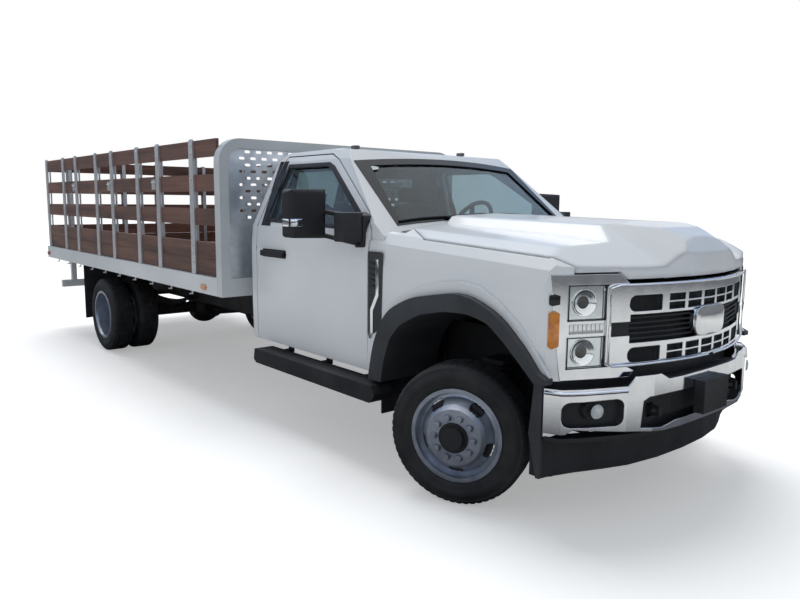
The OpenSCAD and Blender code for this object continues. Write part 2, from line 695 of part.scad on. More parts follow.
// Front bumper: a bowed chrome face with its fog lamp recesses and the opening in its middle
bumper_bow = [[560, 985], [640, 982], [720, 950], [780, 860], [880, 640], [930, 480], [955, 250], [960, 0]];
bumper_face_half = [[390, 508], [560, 528], [653, 538], [899, 565], [929, 542], [wide, 535], [wide, 760], [627, 765], [586, 809], [431, 809],
    [361, 774], [0, 774]];
mouth_half = 551;
mouth_z = 700;
mouth_low_z = 508;
mouth_depth = 62;
mouth_outline = both_flanks([[280, 549], [400, 528], [mouth_half, 545], [mouth_half - 11, mouth_z - 20],
    [mouth_half - 49, mouth_z], [0, mouth_z]]);
fog_outline = [[652, 568, 40], [948, 576, 40], [948, 700, 40], [652, 706, 40]];
hook_y = rail_outer - 12;
shelf_z = 752;
bumper_back_x = 639;
function bumper_plan(t, reach) = inset(both_sides(concat([[300 - reach, 985]], bumper_bow)), t);
module bumper_solid(t, z0, z1) { plan_slab(bumper_plan(t, t > 0 ? 300 : 0), z0, z1); }
module front_bumper() {
    color("silver") difference() {
        union() {
            intersection() {
                difference() {
                    bumper_solid(0, 500, 820);
                    bumper_solid(8, 400, 900);
                }
                front_slab(both_flanks(bumper_face_half), 500, 1100);
            }
            bumper_solid(1, shelf_z, shelf_z + 8);
        }
        bumper_solid(60, 400, 900);
        block([0, -wide, 0], [bumper_back_x, wide, 1000]);
        front_slab(mouth_outline, 500, 1100);
        both() front_slab(rounded(fog_outline), 500, 1100);
    }
    color("silver") both() intersection() {
        block([frame_front_x, rail_inner + 20, 705], [1000, rail_outer, 745]);
        bumper_solid(9, 600, 780);
    }
}

plate_half = 130;
pad_y = 361;
dam_low_z = 305;
dam_crease_z = 480;
dam_bow = [[560, 972], [620, 965], [665, 900], [700, 790], [760, 640], [815, 480], [850, 250], [860, 0]];
dam_t = 12;
lip_in = 8 + seat_gap;
function dam_plan(t, reach) = inset(both_sides(concat([[300 - reach, 972]], dam_bow)), t);
// Valance under the bumper, with the number plate bracket, the tow hooks, the step pad and the fog lamps
module front_valance() {
    color("black") difference() {
        union() {
            difference() {
                union() {
                    plan_slab(bumper_plan(lip_in, 0), mouth_low_z - 10, mouth_low_z + 12);
                    plan_slab(dam_plan(0, 0), dam_crease_z, mouth_low_z - 9);
                    plan_slab(dam_plan(dam_t, 0), dam_low_z, dam_crease_z + 1);
                }
                plan_slab(bumper_plan(lip_in + dam_t, 300), mouth_low_z - 8, 600);
                plan_slab(dam_plan(2 * dam_t, 300), 200, mouth_low_z - 7);
                block([0, -wide, 0], [bumper_back_x, wide, 1000]);
            }
            intersection() {
                difference() {
                    plan_slab(bumper_plan(mouth_depth, 0), mouth_low_z - 6, mouth_z + 15);
                    plan_slab(bumper_plan(mouth_depth + 10, 300), 500, mouth_z + 50);
                    both() block([700, hook_y - 26, 570], [1100, hook_y + 26, 645]);
                }
                block([700, -mouth_half + 5, mouth_low_z - 6], [1100, mouth_half - 5, mouth_z + 3]);
            }
            difference() {
                plan_slab(bumper_plan(lip_in, 0), mouth_low_z - 8, mouth_low_z - seat_gap);
                plan_slab(bumper_plan(2 * mouth_depth, 300), 400, 600);
                block([0, -wide, 0], [bumper_back_x, wide, 1000]);
            }
            difference() {
                block([bumper_bow[7][0] + seat_gap, -plate_half, 560], [nose, plate_half, 735]);
                block([900, -plate_half + 8, 500], [nose - 8, plate_half - 8, 727]);
            }
            both() difference() {
                block([frame_front_x + seat_gap, hook_y - 11, 585], [935, hook_y + 11, 635]);
                pin_y(905, 610, 14, 0, 1000);
            }
        }
        for (s = [-1, 1]) pin_x(s * plate_pitch / 2, 660, plate_hole_r, nose - 30, nose + 10);
    }
    color("black") intersection() {
        difference() {
            plan_slab(bumper_plan(8 + seat_gap, 0), shelf_z + 8 + seat_gap, 777);
            plan_slab(bumper_plan(58, 300), 700, 800);
        }
        block([700, -pad_y, 700], [1100, pad_y, 800]);
    }
    color("black") both() {
        difference() {
            intersection() {
                difference() {
                    bumper_solid(8 + seat_gap, 560, 715);
                    bumper_solid(46, 500, 800);
                }
                block([bumper_back_x, 644, 560], [1000, 956, 714]);
            }
            front_slab(rounded(fog_outline), 500, bumper_bow[4][0] + 200);
        }
        intersection() {
            difference() {
                bumper_solid(40, 561, 713);
                bumper_solid(46, 500, 800);
            }
            block([bumper_back_x, 645, 561], [1000, 955, 713]);
        }
        intersection() {
            pin_x(798, 654, 45, 700, 900);
            difference() {
                bumper_solid(14, 500, 800);
                bumper_solid(42, 500, 800);
            }
        }
    }
}

// Running boards below the doors, on brackets from the sills
step_in = cab_half_w - 45;
step_out = cab_half_w + 107;
step_top_z = 548;
module running_boards() {
    color("black") both() {
        difference() {
            side_slab(rounded([[-1975, 465, 10], [-1940, 442, 10], [-560, 440, 20], [-509, 495, 20], [-551, 548, 10],
                [-1960, 548, 10]]), step_in, step_out);
            block([-1900, step_in - 20, 400], [-600, step_out - 20, step_top_z - 28]);
        }
        for (x = [-1800, -1300, -800]) {
            block([x - 30, step_in - 70, step_top_z - 28], [x + 30, step_in + 1, step_top_z - 8]);
            block([x - 30, step_in - 80, step_top_z - 28], [x + 30, step_in - 65, sill_z]);
        }
    }
}

// Doors, cut from the cab's own surface, with their inner faces and handles
module door() {
    color("white") {
        difference() {
            intersection() {
                difference() {
                    cab_solid(0);
                    cab_sides(cab_wall);
                }
                side_slab(door_face(0), 500, wide);
            }
            side_slab(window_face(0), 500, wide);
        }
        side_slab(rounded([[-1990, 1240, 12], [-1682, 1240, 12], [-1682, 1282, 12], [-1990, 1282, 12]]),
            cab_half_w - 2, cab_half_w + 30);
    }
}
module door_glass() {
    color("lightslategray") intersection() {
        difference() {
            cab_sides(14);
            cab_sides(14 + glass_t);
        }
        side_slab(window_face(seat_gap), 500, wide);
    }
}

// Mirrors: a base on the door, two arms and the head, placed outwards from the cab's side
head_in = cab_half_w + 55;
head_out = cab_half_w + 352;
head_z = [1409, 1725];
module door_mirror() {
    color("black") {
        difference() {
            side_slab(rounded([[-832, 1360, 12], [-748, 1366, 12], [-748, 1560, 12], [-832, 1585, 12]]),
                cab_half_w - 90, cab_half_w + 12);
            cab_solid(-seat_gap);
        }
        rod([-790, cab_half_w + 8, 1385], [-1080, head_in + 30, 1430], 15);
        rod([-790, cab_half_w, 1548], [-1080, head_in + 30, 1580], 15);
        intersection() {
            plan_slab(rounded([[-1150, head_in, 20], [-1050, head_in + 15, 40], [-1050, head_out - 15, 40],
                [-1150, head_out, 20]]), head_z[0], head_z[1]);
            front_slab(rounded([[head_in, head_z[0], 30], [head_out, head_z[0] + 8, 45], [head_out, head_z[1] - 8, 45],
                [head_in, head_z[1], 30]]), -1200, -1000);
            side_slab(rounded([[-1160, head_z[0] - 5, 0], [-1050, head_z[0], 35], [-1050, head_z[1], 35],
                [-1160, head_z[1] + 5, 0]]), head_in - 1, head_out + 1);
        }
    }
}

// Steering: a yoke round each axle eye with its kingpin, its spindle and its arm
yoke_t = 30;
yoke_gap = 5;
spindle_r = 30;
arm_z = axle_z - eye_h / 2 - yoke_gap - yoke_t;
module steered(s) {
    translate([0, s * kingpin_y, 0]) rotate([0, 0, steer_rest]) children();
}
module knuckle(s) {
    z0 = axle_z - eye_h / 2 - yoke_gap;
    z1 = axle_z + eye_h / 2 + yoke_gap;
    color("dimgray") steered(s) {
        on_side(s) {
            translate([0, 0, z0 - yoke_t]) cylinder(r = kingpin_r, h = z1 - z0 + 2 * yoke_t);
            for (z = [z0 - yoke_t, z1]) {
                translate([0, 0, z]) cylinder(r = eye_r, h = yoke_t);
                block([-40, 0, z], [40, eye_r + 30, z + yoke_t]);
            }
            block([-40, eye_r + yoke_gap, z0 - 1], [40, eye_r + 30, z1 + 1]);
            pin_y(0, axle_z, spindle_r, eye_r + 20, wheel_offset + 100);
        }
        bar([-30, 0, arm_z + yoke_t / 2], [-steer_arm, 0, arm_z + yoke_t / 2], 44, yoke_t);
        translate([-steer_arm, 0, arm_z]) cylinder(r = 22, h = yoke_t);
        translate([-steer_arm, 0, arm_z - 36]) cylinder(r = 10, h = 37);
    }
}
module tie_rod() {
    end = [-steer_arm * cos(steer_rest), -steer_arm * sin(steer_rest), arm_z - 20];
    color("dimgray") translate(end) difference() {
        union() {
            rotate([90, 0, 0]) cylinder(r = 14, h = 2 * kingpin_y, center = true);
            for (y = [-kingpin_y, kingpin_y]) translate([0, y, -14]) cylinder(r = 22, h = 28);
        }
        for (y = [-kingpin_y, kingpin_y]) translate([0, y, -30]) cylinder(r = 10 + pin_play, h = 60);
    }
}

// Wheels: their outlines are [radius, distance outwards along the axle]
half_w = tyre_w / 2;
bead_r = rim_r - 12;
groove_y = [-48, -16, 16, 48];
module tyre() {
    color("black") rotate([-90, 0, 0]) rotate_extrude($fn = 72) difference() {
        polygon([[bead_r, -half_w + 23], [rim_r + 0.6, -half_w + 17], [rim_r + 4, -half_w + 12], [rim_r + 40, -half_w + 2],
            [rim_r + 66, -half_w], [tyre_r - 36, -half_w + 10], [tyre_r - 14, -half_w + 17],
            [tyre_r - 2, -half_w + 30], [tyre_r, -half_w + 50], [tyre_r, half_w - 50], [tyre_r - 2, half_w - 30],
            [tyre_r - 14, half_w - 17], [tyre_r - 36, half_w - 10], [rim_r + 66, half_w],
            [rim_r + 40, half_w - 2], [rim_r + 4, half_w - 12], [rim_r + 0.6, half_w - 17],
            [bead_r, half_w - 23]]);
        for (y = groove_y) translate([tyre_r - 10, y - 4]) square([20, 8]);
    }
}
dish = 136;
disc_t = 14;
hub_r = 84;
module rim(face) {
    // The disc's bolt face lies at dish outwards for face 1, and at dish inwards for face -1
    barrel_in = bead_r - 16;
    rotate([-90, 0, 0]) difference() {
        rotate_extrude($fn = 72) union() {
            polygon([[bead_r - 10, -half_w + 8], [rim_r, -half_w + 8], [rim_r, -half_w + 16],
                [bead_r - seat_gap, -half_w + 22], [bead_r - seat_gap, half_w - 22], [rim_r, half_w - 16],
                [rim_r, half_w - 8], [bead_r - 10, half_w - 8], [barrel_in, half_w - 30],
                [barrel_in, -half_w + 30]]);
            polygon([for (p = [[hub_r, dish - disc_t], [hub_r, dish], [155, dish], [176, dish - 22],
                [210, dish - 70], [barrel_in + 4, dish - 76], [barrel_in + 4, dish - 92], [200, dish - 84],
                [166, dish - 36], [148, dish - disc_t]]) [p[0], p[1] * face]]);
        }
        for (i = [0 : 4]) rotate([0, 0, i * 72 + 18]) for (d = [-7, 0, 7])
            rotate([0, 0, d]) translate([192, 0, -200]) cylinder(r = 20, h = 400);
    }
}
module studs(y0, y1) {
    for (i = [0 : stud_count - 1]) rotate([0, i * 360 / stud_count, 0]) translate([stud_pcd / 2, 0, 0])
        pin_y(0, 0, 15, y0, y1);
}
module front_rim() {
    color("lightsteelblue") {
        rim(1);
        difference() {
            union() {
                pin_y(0, 0, hub_r + 1, 20, dish + 6);
                pin_y(0, 0, 62, dish, dish + 34);
            }
            pin_y(0, 0, spindle_r + pin_play, 0, dish - 20);
        }
        studs(dish - 2, dish + 24);
    }
}
module rear_rims() {
    half = dual_spacing / 2;
    color("lightsteelblue") {
        translate([0, half, 0]) rim(-1);
        translate([0, -half, 0]) rim(1);
        difference() {
            union() {
                pin_y(0, 0, hub_r + 1, -half - 60, 60);
                pin_y(0, 0, 66, 50, 110);
                pin_y(0, 0, 150, -disc_t, -1);
            }
            pin_y(0, 0, spindle_rear_r + pin_play, -half - 70, 45);
        }
        studs(-20, 40);
    }
}
module front_wheel_place(s) {
    translate([0, 0, axle_z]) steered(s) on_side(s) translate([0, wheel_offset, 0]) children();
}
module rear_wheel_place(s) {
    on_side(s) translate([-wheelbase, rear_track / 2, axle_z]) children();
}
module rear_tyres() {
    for (d = [-1, 1]) translate([0, d * dual_spacing / 2, 0]) tyre();
}

// Bed: sills on the frame, crossmembers, planks and the channels round them
cross_z = deck_z - plank_t;
flange_in = half_bed - 49;
rail_wall = 6;
rope_hook_x = bed_front_x - 576;
rope_hook_pitch = 430;
rope_hook_count = 10;
cross_count = 13;
cross_half = 25;
module bed_frame() {
    first = bed_front_x - bulkhead_d - 40;
    last = bed_rear_x + 90;
    color("dimgray") {
        both() block([frame_rear_x, rail_inner, frame_top_z + seat_gap], [bed_front_x, rail_outer, side_rail_z - seat_gap]);
        for (i = [0 : cross_count - 1]) {
            x = first + (last - first) * i / (cross_count - 1);
            front_slab([[-flange_in + 30, side_rail_z], [flange_in - 30, side_rail_z], [flange_in, side_rail_z + 40],
                [flange_in, cross_z], [-flange_in, cross_z], [-flange_in, side_rail_z + 40]], x - cross_half, x + cross_half);
        }
    }
}
module bed_deck() {
    x0 = bed_rear_x + 49;
    x1 = bed_front_x - bulkhead_d;
    w = (flange_in * 2) / plank_count;
    color("sienna") for (i = [0 : plank_count - 1])
        block([x0 + 1, -flange_in + i * w + 1, cross_z], [x1 - 1, -flange_in + (i + 1) * w - 1, deck_z]);
}
module bed_rails() {
    color("whitesmoke") difference() {
        union() {
            both() front_slab(channel(half_bed, side_rail_z, deck_z, half_bed - flange_in, rail_wall),
                bed_rear_x, bed_front_x - bulkhead_d);
            side_slab(channel(bed_rear_x, side_rail_z, deck_z, half_bed - flange_in, rail_wall, -1), -half_bed + 3,
                half_bed - 3);
        }
        for (x = post_places) both() block([x - post_w / 2 - 1, post_in - 1, deck_z - 20],
            [x + post_w / 2 + 1, post_in + post_t + 1, deck_z + 20]);
        for (y = rear_post_places) block([rear_post_x - 1 - post_t, y - post_w / 2 - 1, deck_z - 20],
            [rear_post_x + 1, y + post_w / 2 + 1, deck_z + 20]);
    }
    color("whitesmoke") both() for (i = [0 : rope_hook_count - 1])
        translate([rope_hook_x - i * rope_hook_pitch, 0, side_rail_z]) rope_hook();
}

// Rope hooks under the side rails
module rope_hook() {
    translate([0, half_bed - 18, -34]) cylinder(r = 6, h = 34 - seat_gap, $fn = 16);
    pin_y(0, -26, 5, half_bed - 18, half_bed + 8, $fn = 16);
}

// Bulkhead: a rounded frame of square tube with a sheet let into it
tube_w = 76;
module bulkhead() {
    r = 180;
    color("gray") difference() {
        front_slab(rounded([[-half_bed, side_rail_z, 0], [half_bed, side_rail_z, 0],
            [half_bed, bulkhead_top, r], [-half_bed, bulkhead_top, r]], 8), bed_front_x - bulkhead_d, bed_front_x);
        front_slab(rounded([[-half_bed + tube_w, deck_z, 0], [half_bed - tube_w, deck_z, 0],
            [half_bed - tube_w, bulkhead_top - tube_w, r - tube_w],
            [-half_bed + tube_w, bulkhead_top - tube_w, r - tube_w]], 8), bed_front_x - 200, bed_front_x + 50);
    }
}
sheet_t = 5;
hole_w = 50;
hole_h = 21;
hole_pitch = 97;
hole_row_pitch = 50;
hole_rows = 11;
hole_top_z = 2016;
hole_reach = 1060;
module hole() {
    square([hole_w - hole_h, hole_h], center = true);
    for (s = [-1, 1]) translate([s * (hole_w - hole_h) / 2, 0]) circle(d = hole_h, $fn = 16);
}
module bulkhead_sheet() {
    r = 180 - tube_w;
    e = seat_gap;
    color("silver") translate([bed_front_x - 20 - sheet_t, 0, 0]) rotate([90, 0, 90]) linear_extrude(sheet_t) difference() {
        polygon(rounded([[-half_bed + tube_w + e, deck_z + e, 0],
            [half_bed - tube_w - e, deck_z + e, 0], [half_bed - tube_w - e, bulkhead_top - tube_w - e, r],
            [-half_bed + tube_w + e, bulkhead_top - tube_w - e, r]], 8));
        for (j = [0 : hole_rows - 1]) for (i = [-11 : 11]) {
            y = (i + (j % 2) / 2) * hole_pitch;
            if (abs(y) < hole_reach - (j == 0 ? 30 : 0)) translate([y, hole_top_z - j * hole_row_pitch]) hole();
        }
    }
}

// Racks: five boards to a panel on two posts that stand in the side rails
rack_front_x = bed_front_x - bulkhead_d - 12;
post_in = half_bed - 30;
post_steps = [430, 1130];
post_places = [for (i = [0 : rack_count - 1]) for (d = post_steps) rack_front_x - i * rack_pitch - d];
rear_post_x = bed_rear_x + rail_wall + seat_gap + post_t;
rear_half = half_bed - 70;
rear_post_places = [for (s = [-1, 1]) for (f = [0.2, 0.8]) s * rear_half * f];
board_low = [for (i = [0 : 4]) deck_z + (i < 2 ? i * (board_w + 2) : (2 * i - 2) * board_w + (i - 1) * (board_gap - board_w) + board_w)];
rack_top_z = board_low[4] + board_w + 14;
module rack_boards() {
    color("saddlebrown") {
        for (i = [0 : rack_count - 1]) both() for (z = board_low)
            block([rack_front_x - (i + 1) * rack_pitch + 5, post_in - board_t, z],
                [rack_front_x - i * rack_pitch - 5, post_in, z + board_w]);
        for (s = [-1, 1]) on_side(s) for (z = board_low)
            block([rear_post_x, 5, z], [rear_post_x + board_t, rear_half, z + board_w]);
    }
}
strap_t = 6;
latch_z = board_low[3] + 20;
module rack_posts() {
    color("silver") {
        for (i = [1 : rack_count - 1]) both() {
            x = rack_front_x - i * rack_pitch;
            for (d = [-1, 1]) block([x + d * 55 - 40, post_in, latch_z], [x + d * 55 + 40, post_in + strap_t, latch_z + 90]);
            rod([x - 55, post_in + strap_t, latch_z + 62], [x - 55, post_in + strap_t + 16, latch_z + 62], 8);
            rod([x + 55, post_in + strap_t, latch_z + 62], [x + 55, post_in + strap_t + 16, latch_z + 62], 8);
            rod([x - 62, post_in + strap_t + 14, latch_z + 62], [x + 62, post_in + strap_t + 14, latch_z + 62], 6);
        }
        for (x = post_places) both() {
            block([x - post_w / 2, post_in, side_rail_z + 6], [x + post_w / 2, post_in + post_t, rack_top_z]);
            block([x - post_w / 2, post_in - board_t - strap_t, deck_z + 2],
                [x + post_w / 2, post_in - board_t, rack_top_z - 20]);
        }
        for (y = rear_post_places) {
            block([rear_post_x - post_t, y - post_w / 2, side_rail_z + 6], [rear_post_x, y + post_w / 2, rack_top_z]);
            block([rear_post_x + board_t, y - post_w / 2, deck_z + 2],
                [rear_post_x + board_t + strap_t, y + post_w / 2, rack_top_z - 20]);
        }
    }
}

// Mud flaps behind the rear tyres
module mud_flaps() {
    color("black") both() block([-wheelbase - 568, 700, 287], [-wheelbase - 560, 1190, side_rail_z]);
}

// Guard under the bed's rear end
module underride_guard() {
    color("lightgray") {
        both() block([bed_rear_x + 4, 900, 512], [bed_rear_x + 64, 960, side_rail_z]);
        block([bed_rear_x + 4, -1080, 512], [bed_rear_x + 64, 1080, 600]);
    }
}

// Lamps on the side rails and the rear rail
module bed_lamps() {
    color("orange") both() for (x = [bed_front_x - 316, bed_rear_x + 60])
        side_slab(rounded([[x - 45, deck_z - 110, 20], [x + 45, deck_z - 110, 20], [x + 45, deck_z - 68, 20],
            [x - 45, deck_z - 68, 20]]), half_bed, half_bed + 12);
}

placed() frame();
placed() front_axle();
placed() front_suspension();
placed() rear_axle();
placed() rear_springs();
placed() driveline();
placed() fuel_tank();
placed() engine_block();
placed() radiator();
placed() cab_shell();
placed() cab_glass();
placed() cowl();
placed() dashboard();
placed() seats();
placed() fenders();
placed() fender_flares();
placed() hood();
placed() grille();
placed() headlamps();
placed() front_bumper();
placed() front_valance();
placed() running_boards();
placed() on_side(-1) door();  // door_right
placed() on_side(1) door();  // door_left
placed() on_side(-1) door_glass();  // door_glass_right
placed() on_side(1) door_glass();  // door_glass_left
placed() on_side(-1) door_mirror();  // mirror_right
placed() on_side(1) door_mirror();  // mirror_left
placed() knuckle(-1);  // knuckle_right
placed() knuckle(1);  // knuckle_left
placed() tie_rod();
placed() front_wheel_place(-1) tyre();  // front_tyre_right
placed() front_wheel_place(1) tyre();  // front_tyre_left
placed() front_wheel_place(-1) front_rim();  // front_rim_right
placed() front_wheel_place(1) front_rim();  // front_rim_left
placed() rear_wheel_place(-1) rear_tyres();  // rear_tyres_right
placed() rear_wheel_place(1) rear_tyres();  // rear_tyres_left
placed() rear_wheel_place(-1) rear_rims();  // rear_rims_right
placed() rear_wheel_place(1) rear_rims();  // rear_rims_left
placed() bed_frame();
placed() bed_deck();
placed() bed_rails();
placed() bulkhead();
placed() bulkhead_sheet();
placed() rack_boards();
placed() rack_posts();
placed() mud_flaps();
placed() underride_guard();
placed() bed_lamps();
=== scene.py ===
"""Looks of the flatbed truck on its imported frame: materials, tyres, seats, trim, lights and camera."""

import json
import math
from collections import namedtuple

import bmesh
import bpy
from mathutils import Matrix, Vector


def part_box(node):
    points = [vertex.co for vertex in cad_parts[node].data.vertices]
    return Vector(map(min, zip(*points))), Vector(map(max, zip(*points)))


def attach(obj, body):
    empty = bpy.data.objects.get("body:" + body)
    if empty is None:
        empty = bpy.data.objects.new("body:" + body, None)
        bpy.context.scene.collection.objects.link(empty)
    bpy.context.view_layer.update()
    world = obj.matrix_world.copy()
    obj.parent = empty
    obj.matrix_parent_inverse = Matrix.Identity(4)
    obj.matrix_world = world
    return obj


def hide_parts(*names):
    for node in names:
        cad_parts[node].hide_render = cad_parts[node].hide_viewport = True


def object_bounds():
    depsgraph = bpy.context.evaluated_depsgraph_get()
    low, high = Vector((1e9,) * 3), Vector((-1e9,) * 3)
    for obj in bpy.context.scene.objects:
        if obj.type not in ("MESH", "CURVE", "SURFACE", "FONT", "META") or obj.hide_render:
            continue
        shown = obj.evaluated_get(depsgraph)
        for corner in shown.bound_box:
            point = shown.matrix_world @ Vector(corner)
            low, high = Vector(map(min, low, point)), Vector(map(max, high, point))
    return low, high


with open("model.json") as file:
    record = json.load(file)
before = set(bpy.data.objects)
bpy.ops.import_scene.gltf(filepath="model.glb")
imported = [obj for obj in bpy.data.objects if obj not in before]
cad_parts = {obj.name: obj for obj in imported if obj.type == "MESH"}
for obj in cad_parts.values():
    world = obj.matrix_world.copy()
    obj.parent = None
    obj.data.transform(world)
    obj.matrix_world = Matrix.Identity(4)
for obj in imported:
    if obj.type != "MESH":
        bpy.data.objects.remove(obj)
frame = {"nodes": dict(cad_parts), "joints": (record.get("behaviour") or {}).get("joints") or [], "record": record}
cad_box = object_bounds()
NODES = frame["nodes"]
JOINTS = {joint["name"]: joint for joint in frame["joints"]}
SIDES = ((-1, "right"), (1, "left"))

# Sizes below are in millimetres, with x measured from the front axle, y from the middle and z from the ground
MM = 0.001
AXLE_X = sum(corner.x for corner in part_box("front_axle")) / 2


def at(x, y, z):
    """The point of the row frame, in metres, for a place given in millimetres from the front axle."""
    return Vector((AXLE_X + x * MM, y * MM, z * MM))


def step(x, y, z):
    """A step given in millimetres, as a vector in metres."""
    return Vector((x, y, z)) * MM


def from_axle(point):
    """A point of the row frame in metres as millimetres from the front axle."""
    return Vector(((point.x - AXLE_X) / MM, point.y / MM, point.z / MM))


# Camera
CAMERA_AT = at(2709.3, -3662.1, 1644.6)
CAMERA_HEADING = math.radians(139.554)
CAMERA_TILT = math.radians(-7.852)
CAMERA_ROLL = math.radians(0.542)
LENS = 31.82
SENSOR = 36.0
NEAR_CLIP = 0.05
FAR_CLIP = 500


def make_camera():
    camera = bpy.data.objects.new("camera", bpy.data.cameras.new("camera"))
    camera.data.lens = LENS
    camera.data.sensor_width = SENSOR
    camera.data.clip_start = NEAR_CLIP
    camera.data.clip_end = FAR_CLIP
    heading = Matrix.Rotation(CAMERA_HEADING - math.pi / 2, 4, "Z")
    tilt = Matrix.Rotation(math.pi / 2 + CAMERA_TILT, 4, "X")
    roll = Matrix.Rotation(CAMERA_ROLL, 4, "Z")
    camera.matrix_world = Matrix.Translation(CAMERA_AT) @ heading @ tilt @ roll
    bpy.context.scene.collection.objects.link(camera)
    bpy.context.scene.camera = camera


# Materials
# Sockets of a Mix node by number, because their names repeat for each kind of data
VECTOR_A, VECTOR_B, VECTOR_OUT = 4, 5, 1
COLOUR_A, COLOUR_B, COLOUR_OUT = 6, 7, 2


class Graph:
    """A node tree and a short call that adds to it."""

    def __init__(self, tree):
        self.tree = tree

    def node(self, kind, *sources, **settings):
        """A new node with its settings, whose first inputs are joined to the sources."""
        made = self.tree.nodes.new(kind)
        for key, value in settings.items():
            socket = made.inputs.get(key.replace("_", " "))
            if socket:
                socket.default_value = value
            else:
                setattr(made, key, value)
        for source, socket in zip(sources, made.inputs):
            self.join(source, socket)
        return made

    def join(self, output, socket):
        self.tree.links.new(output, socket)


class Look(Graph):
    """A material and the nodes that it is made of."""

    def __init__(self, name, **sockets):
        self.material = bpy.data.materials.new(name)
        self.material.use_nodes = True
        super().__init__(self.material.node_tree)
        self.shader = self.tree.nodes["Principled BSDF"]
        self.place = self.node("ShaderNodeTexCoord").outputs["Object"]
        for socket, value in sockets.items():
            self.shader.inputs[socket.replace("_", " ")].default_value = value

    def stretched(self, stretch):
        return self.node("ShaderNodeMapping", self.place, Scale=stretch).outputs["Vector"]

    def noise(self, scale, detail, stretch=None, place=None):
        """Noise over the object's own space, over a stretched copy of it, or over another place."""
        if stretch:
            place = self.stretched(stretch)
        made = self.node("ShaderNodeTexNoise", place or self.place, Scale=scale, Detail=detail)
        return made.outputs["Fac"]

    def cells(self, scale):
        return self.node("ShaderNodeTexVoronoi", self.place, Scale=scale).outputs["Distance"]

    def ramp(self, factor, low, high, start=0.35, end=0.65):
        made = self.node("ShaderNodeValToRGB", factor)
        for element, position, colour in zip(made.color_ramp.elements, (start, end), (low, high)):
            element.position = position
            element.color = (*colour, 1)
        return made.outputs["Color"]

    def between(self, factor, low, high):
        return self.node("ShaderNodeMapRange", factor, To_Min=low, To_Max=high).outputs["Result"]

    def colour(self, output):
        self.join(output, self.shader.inputs["Base Color"])

    def roughness(self, factor, low, high):
        self.join(self.between(factor, low, high), self.shader.inputs["Roughness"])

    def bump(self, height, depth, edge):
        """Relief of a depth in metres, over edges that look rounded by the radius edge."""
        made = self.node("ShaderNodeBump", Distance=depth)
        self.join(height, made.inputs["Height"])
        if edge:
            soft = self.node("ShaderNodeBevel", samples=4, Radius=edge)
            self.join(soft.outputs["Normal"], made.inputs["Normal"])
        self.join(made.outputs["Normal"], self.shader.inputs["Normal"])


def surface(name, low, high, tone, smears, rough, relief, depth, edge=0.0, spread=(0.35, 0.65), **sockets):
    """Colour, roughness and relief, each from its own noise, or from cells where only a size is given."""
    look = Look(name, **sockets)

    def pattern(sizes):
        return look.noise(*sizes) if isinstance(sizes, tuple) else look.cells(sizes)

    look.colour(look.ramp(pattern(tone), low, high, *spread))
    look.roughness(pattern(smears), *rough)
    look.bump(pattern(relief), depth, edge)
    return look.material


def paint(name, low, high, rough=(0.25, 0.4), coat=0.5, edge=0.004):
    return surface(name, low, high, (1.3, 4.0), (3.0, 5.0), rough, (160.0, 1.0), 0.00006, edge,
                   Coat_Weight=coat, Coat_Roughness=0.06)


def chrome(name):
    return surface(name, (0.80, 0.81, 0.83), (0.90, 0.91, 0.93), (9.0, 3.0), (14.0, 6.0), (0.03, 0.13),
                   (70.0, 1.0), 0.00005, 0.004, Metallic=1.0)


def moulded(name, low, high, rough=(0.5, 0.68), grain=900.0, depth=0.0002, edge=0.003):
    return surface(name, low, high, (4.0, 6.0), (11.0, 4.0), rough, grain, depth, edge)


def cast_metal(name, low, high):
    return surface(name, low, high, (12.0, 5.0), (30.0, 4.0), (0.32, 0.5), (400.0, 2.0), 0.0001, 0.003,
                   Metallic=0.85)


def rubber(name):
    return surface(name, (0.012, 0.012, 0.013), (0.034, 0.033, 0.032), (7.0, 8.0), (18.0, 6.0), (0.6, 0.85),
                   (500.0, 3.0), 0.0002, 0.001, (0.35, 0.8))


def lens(name, low, high, ribs):
    """A coloured lens with fine ribs moulded into it, drawn out by the share ribs."""
    return surface(name, low, high, (30.0, 3.0), (20.0, 2.0), (0.15, 0.3), (260.0, 0.0, (1.0, 1.0, ribs)),
                   0.0004, 0.001, Coat_Weight=1.0, Coat_Roughness=0.03, Transmission_Weight=0.25)


# Satin black with road dust, zinc with its spangle, sheet with rolling marks, and vinyl
CHASSIS_COAT = surface("chassis_black", (0.010, 0.010, 0.011), (0.035, 0.033, 0.031), (5.0, 8.0), (20.0, 6.0),
                       (0.45, 0.8), (220.0, 3.0), 0.0003, 0.003, (0.4, 0.8))
GALVANISED = surface("galvanised_steel", (0.58, 0.59, 0.60), (0.74, 0.75, 0.76), 210.0, (25.0, 5.0),
                     (0.26, 0.45), 210.0, 0.00005, 0.002, (0.1, 0.7), Metallic=0.75)
BRIGHT_SHEET = surface("bright_sheet", (0.55, 0.57, 0.59), (0.80, 0.82, 0.84), (6.0, 8.0),
                       (5.0, 8.0, (1.0, 1.0, 9.0)), (0.22, 0.5), (60.0, 5.0, (1.0, 5.0, 0.6)), 0.0003, 0.002,
                       Metallic=0.9)
VINYL = surface("seat_vinyl", (0.016, 0.016, 0.018), (0.034, 0.034, 0.037), (8.0, 5.0), (20.0, 3.0),
                (0.5, 0.7), 420.0, 0.0005)
# How fast the grain of a board changes along it and across it
GRAIN_ALONG = 1.2
GRAIN_ACROSS = 26.0


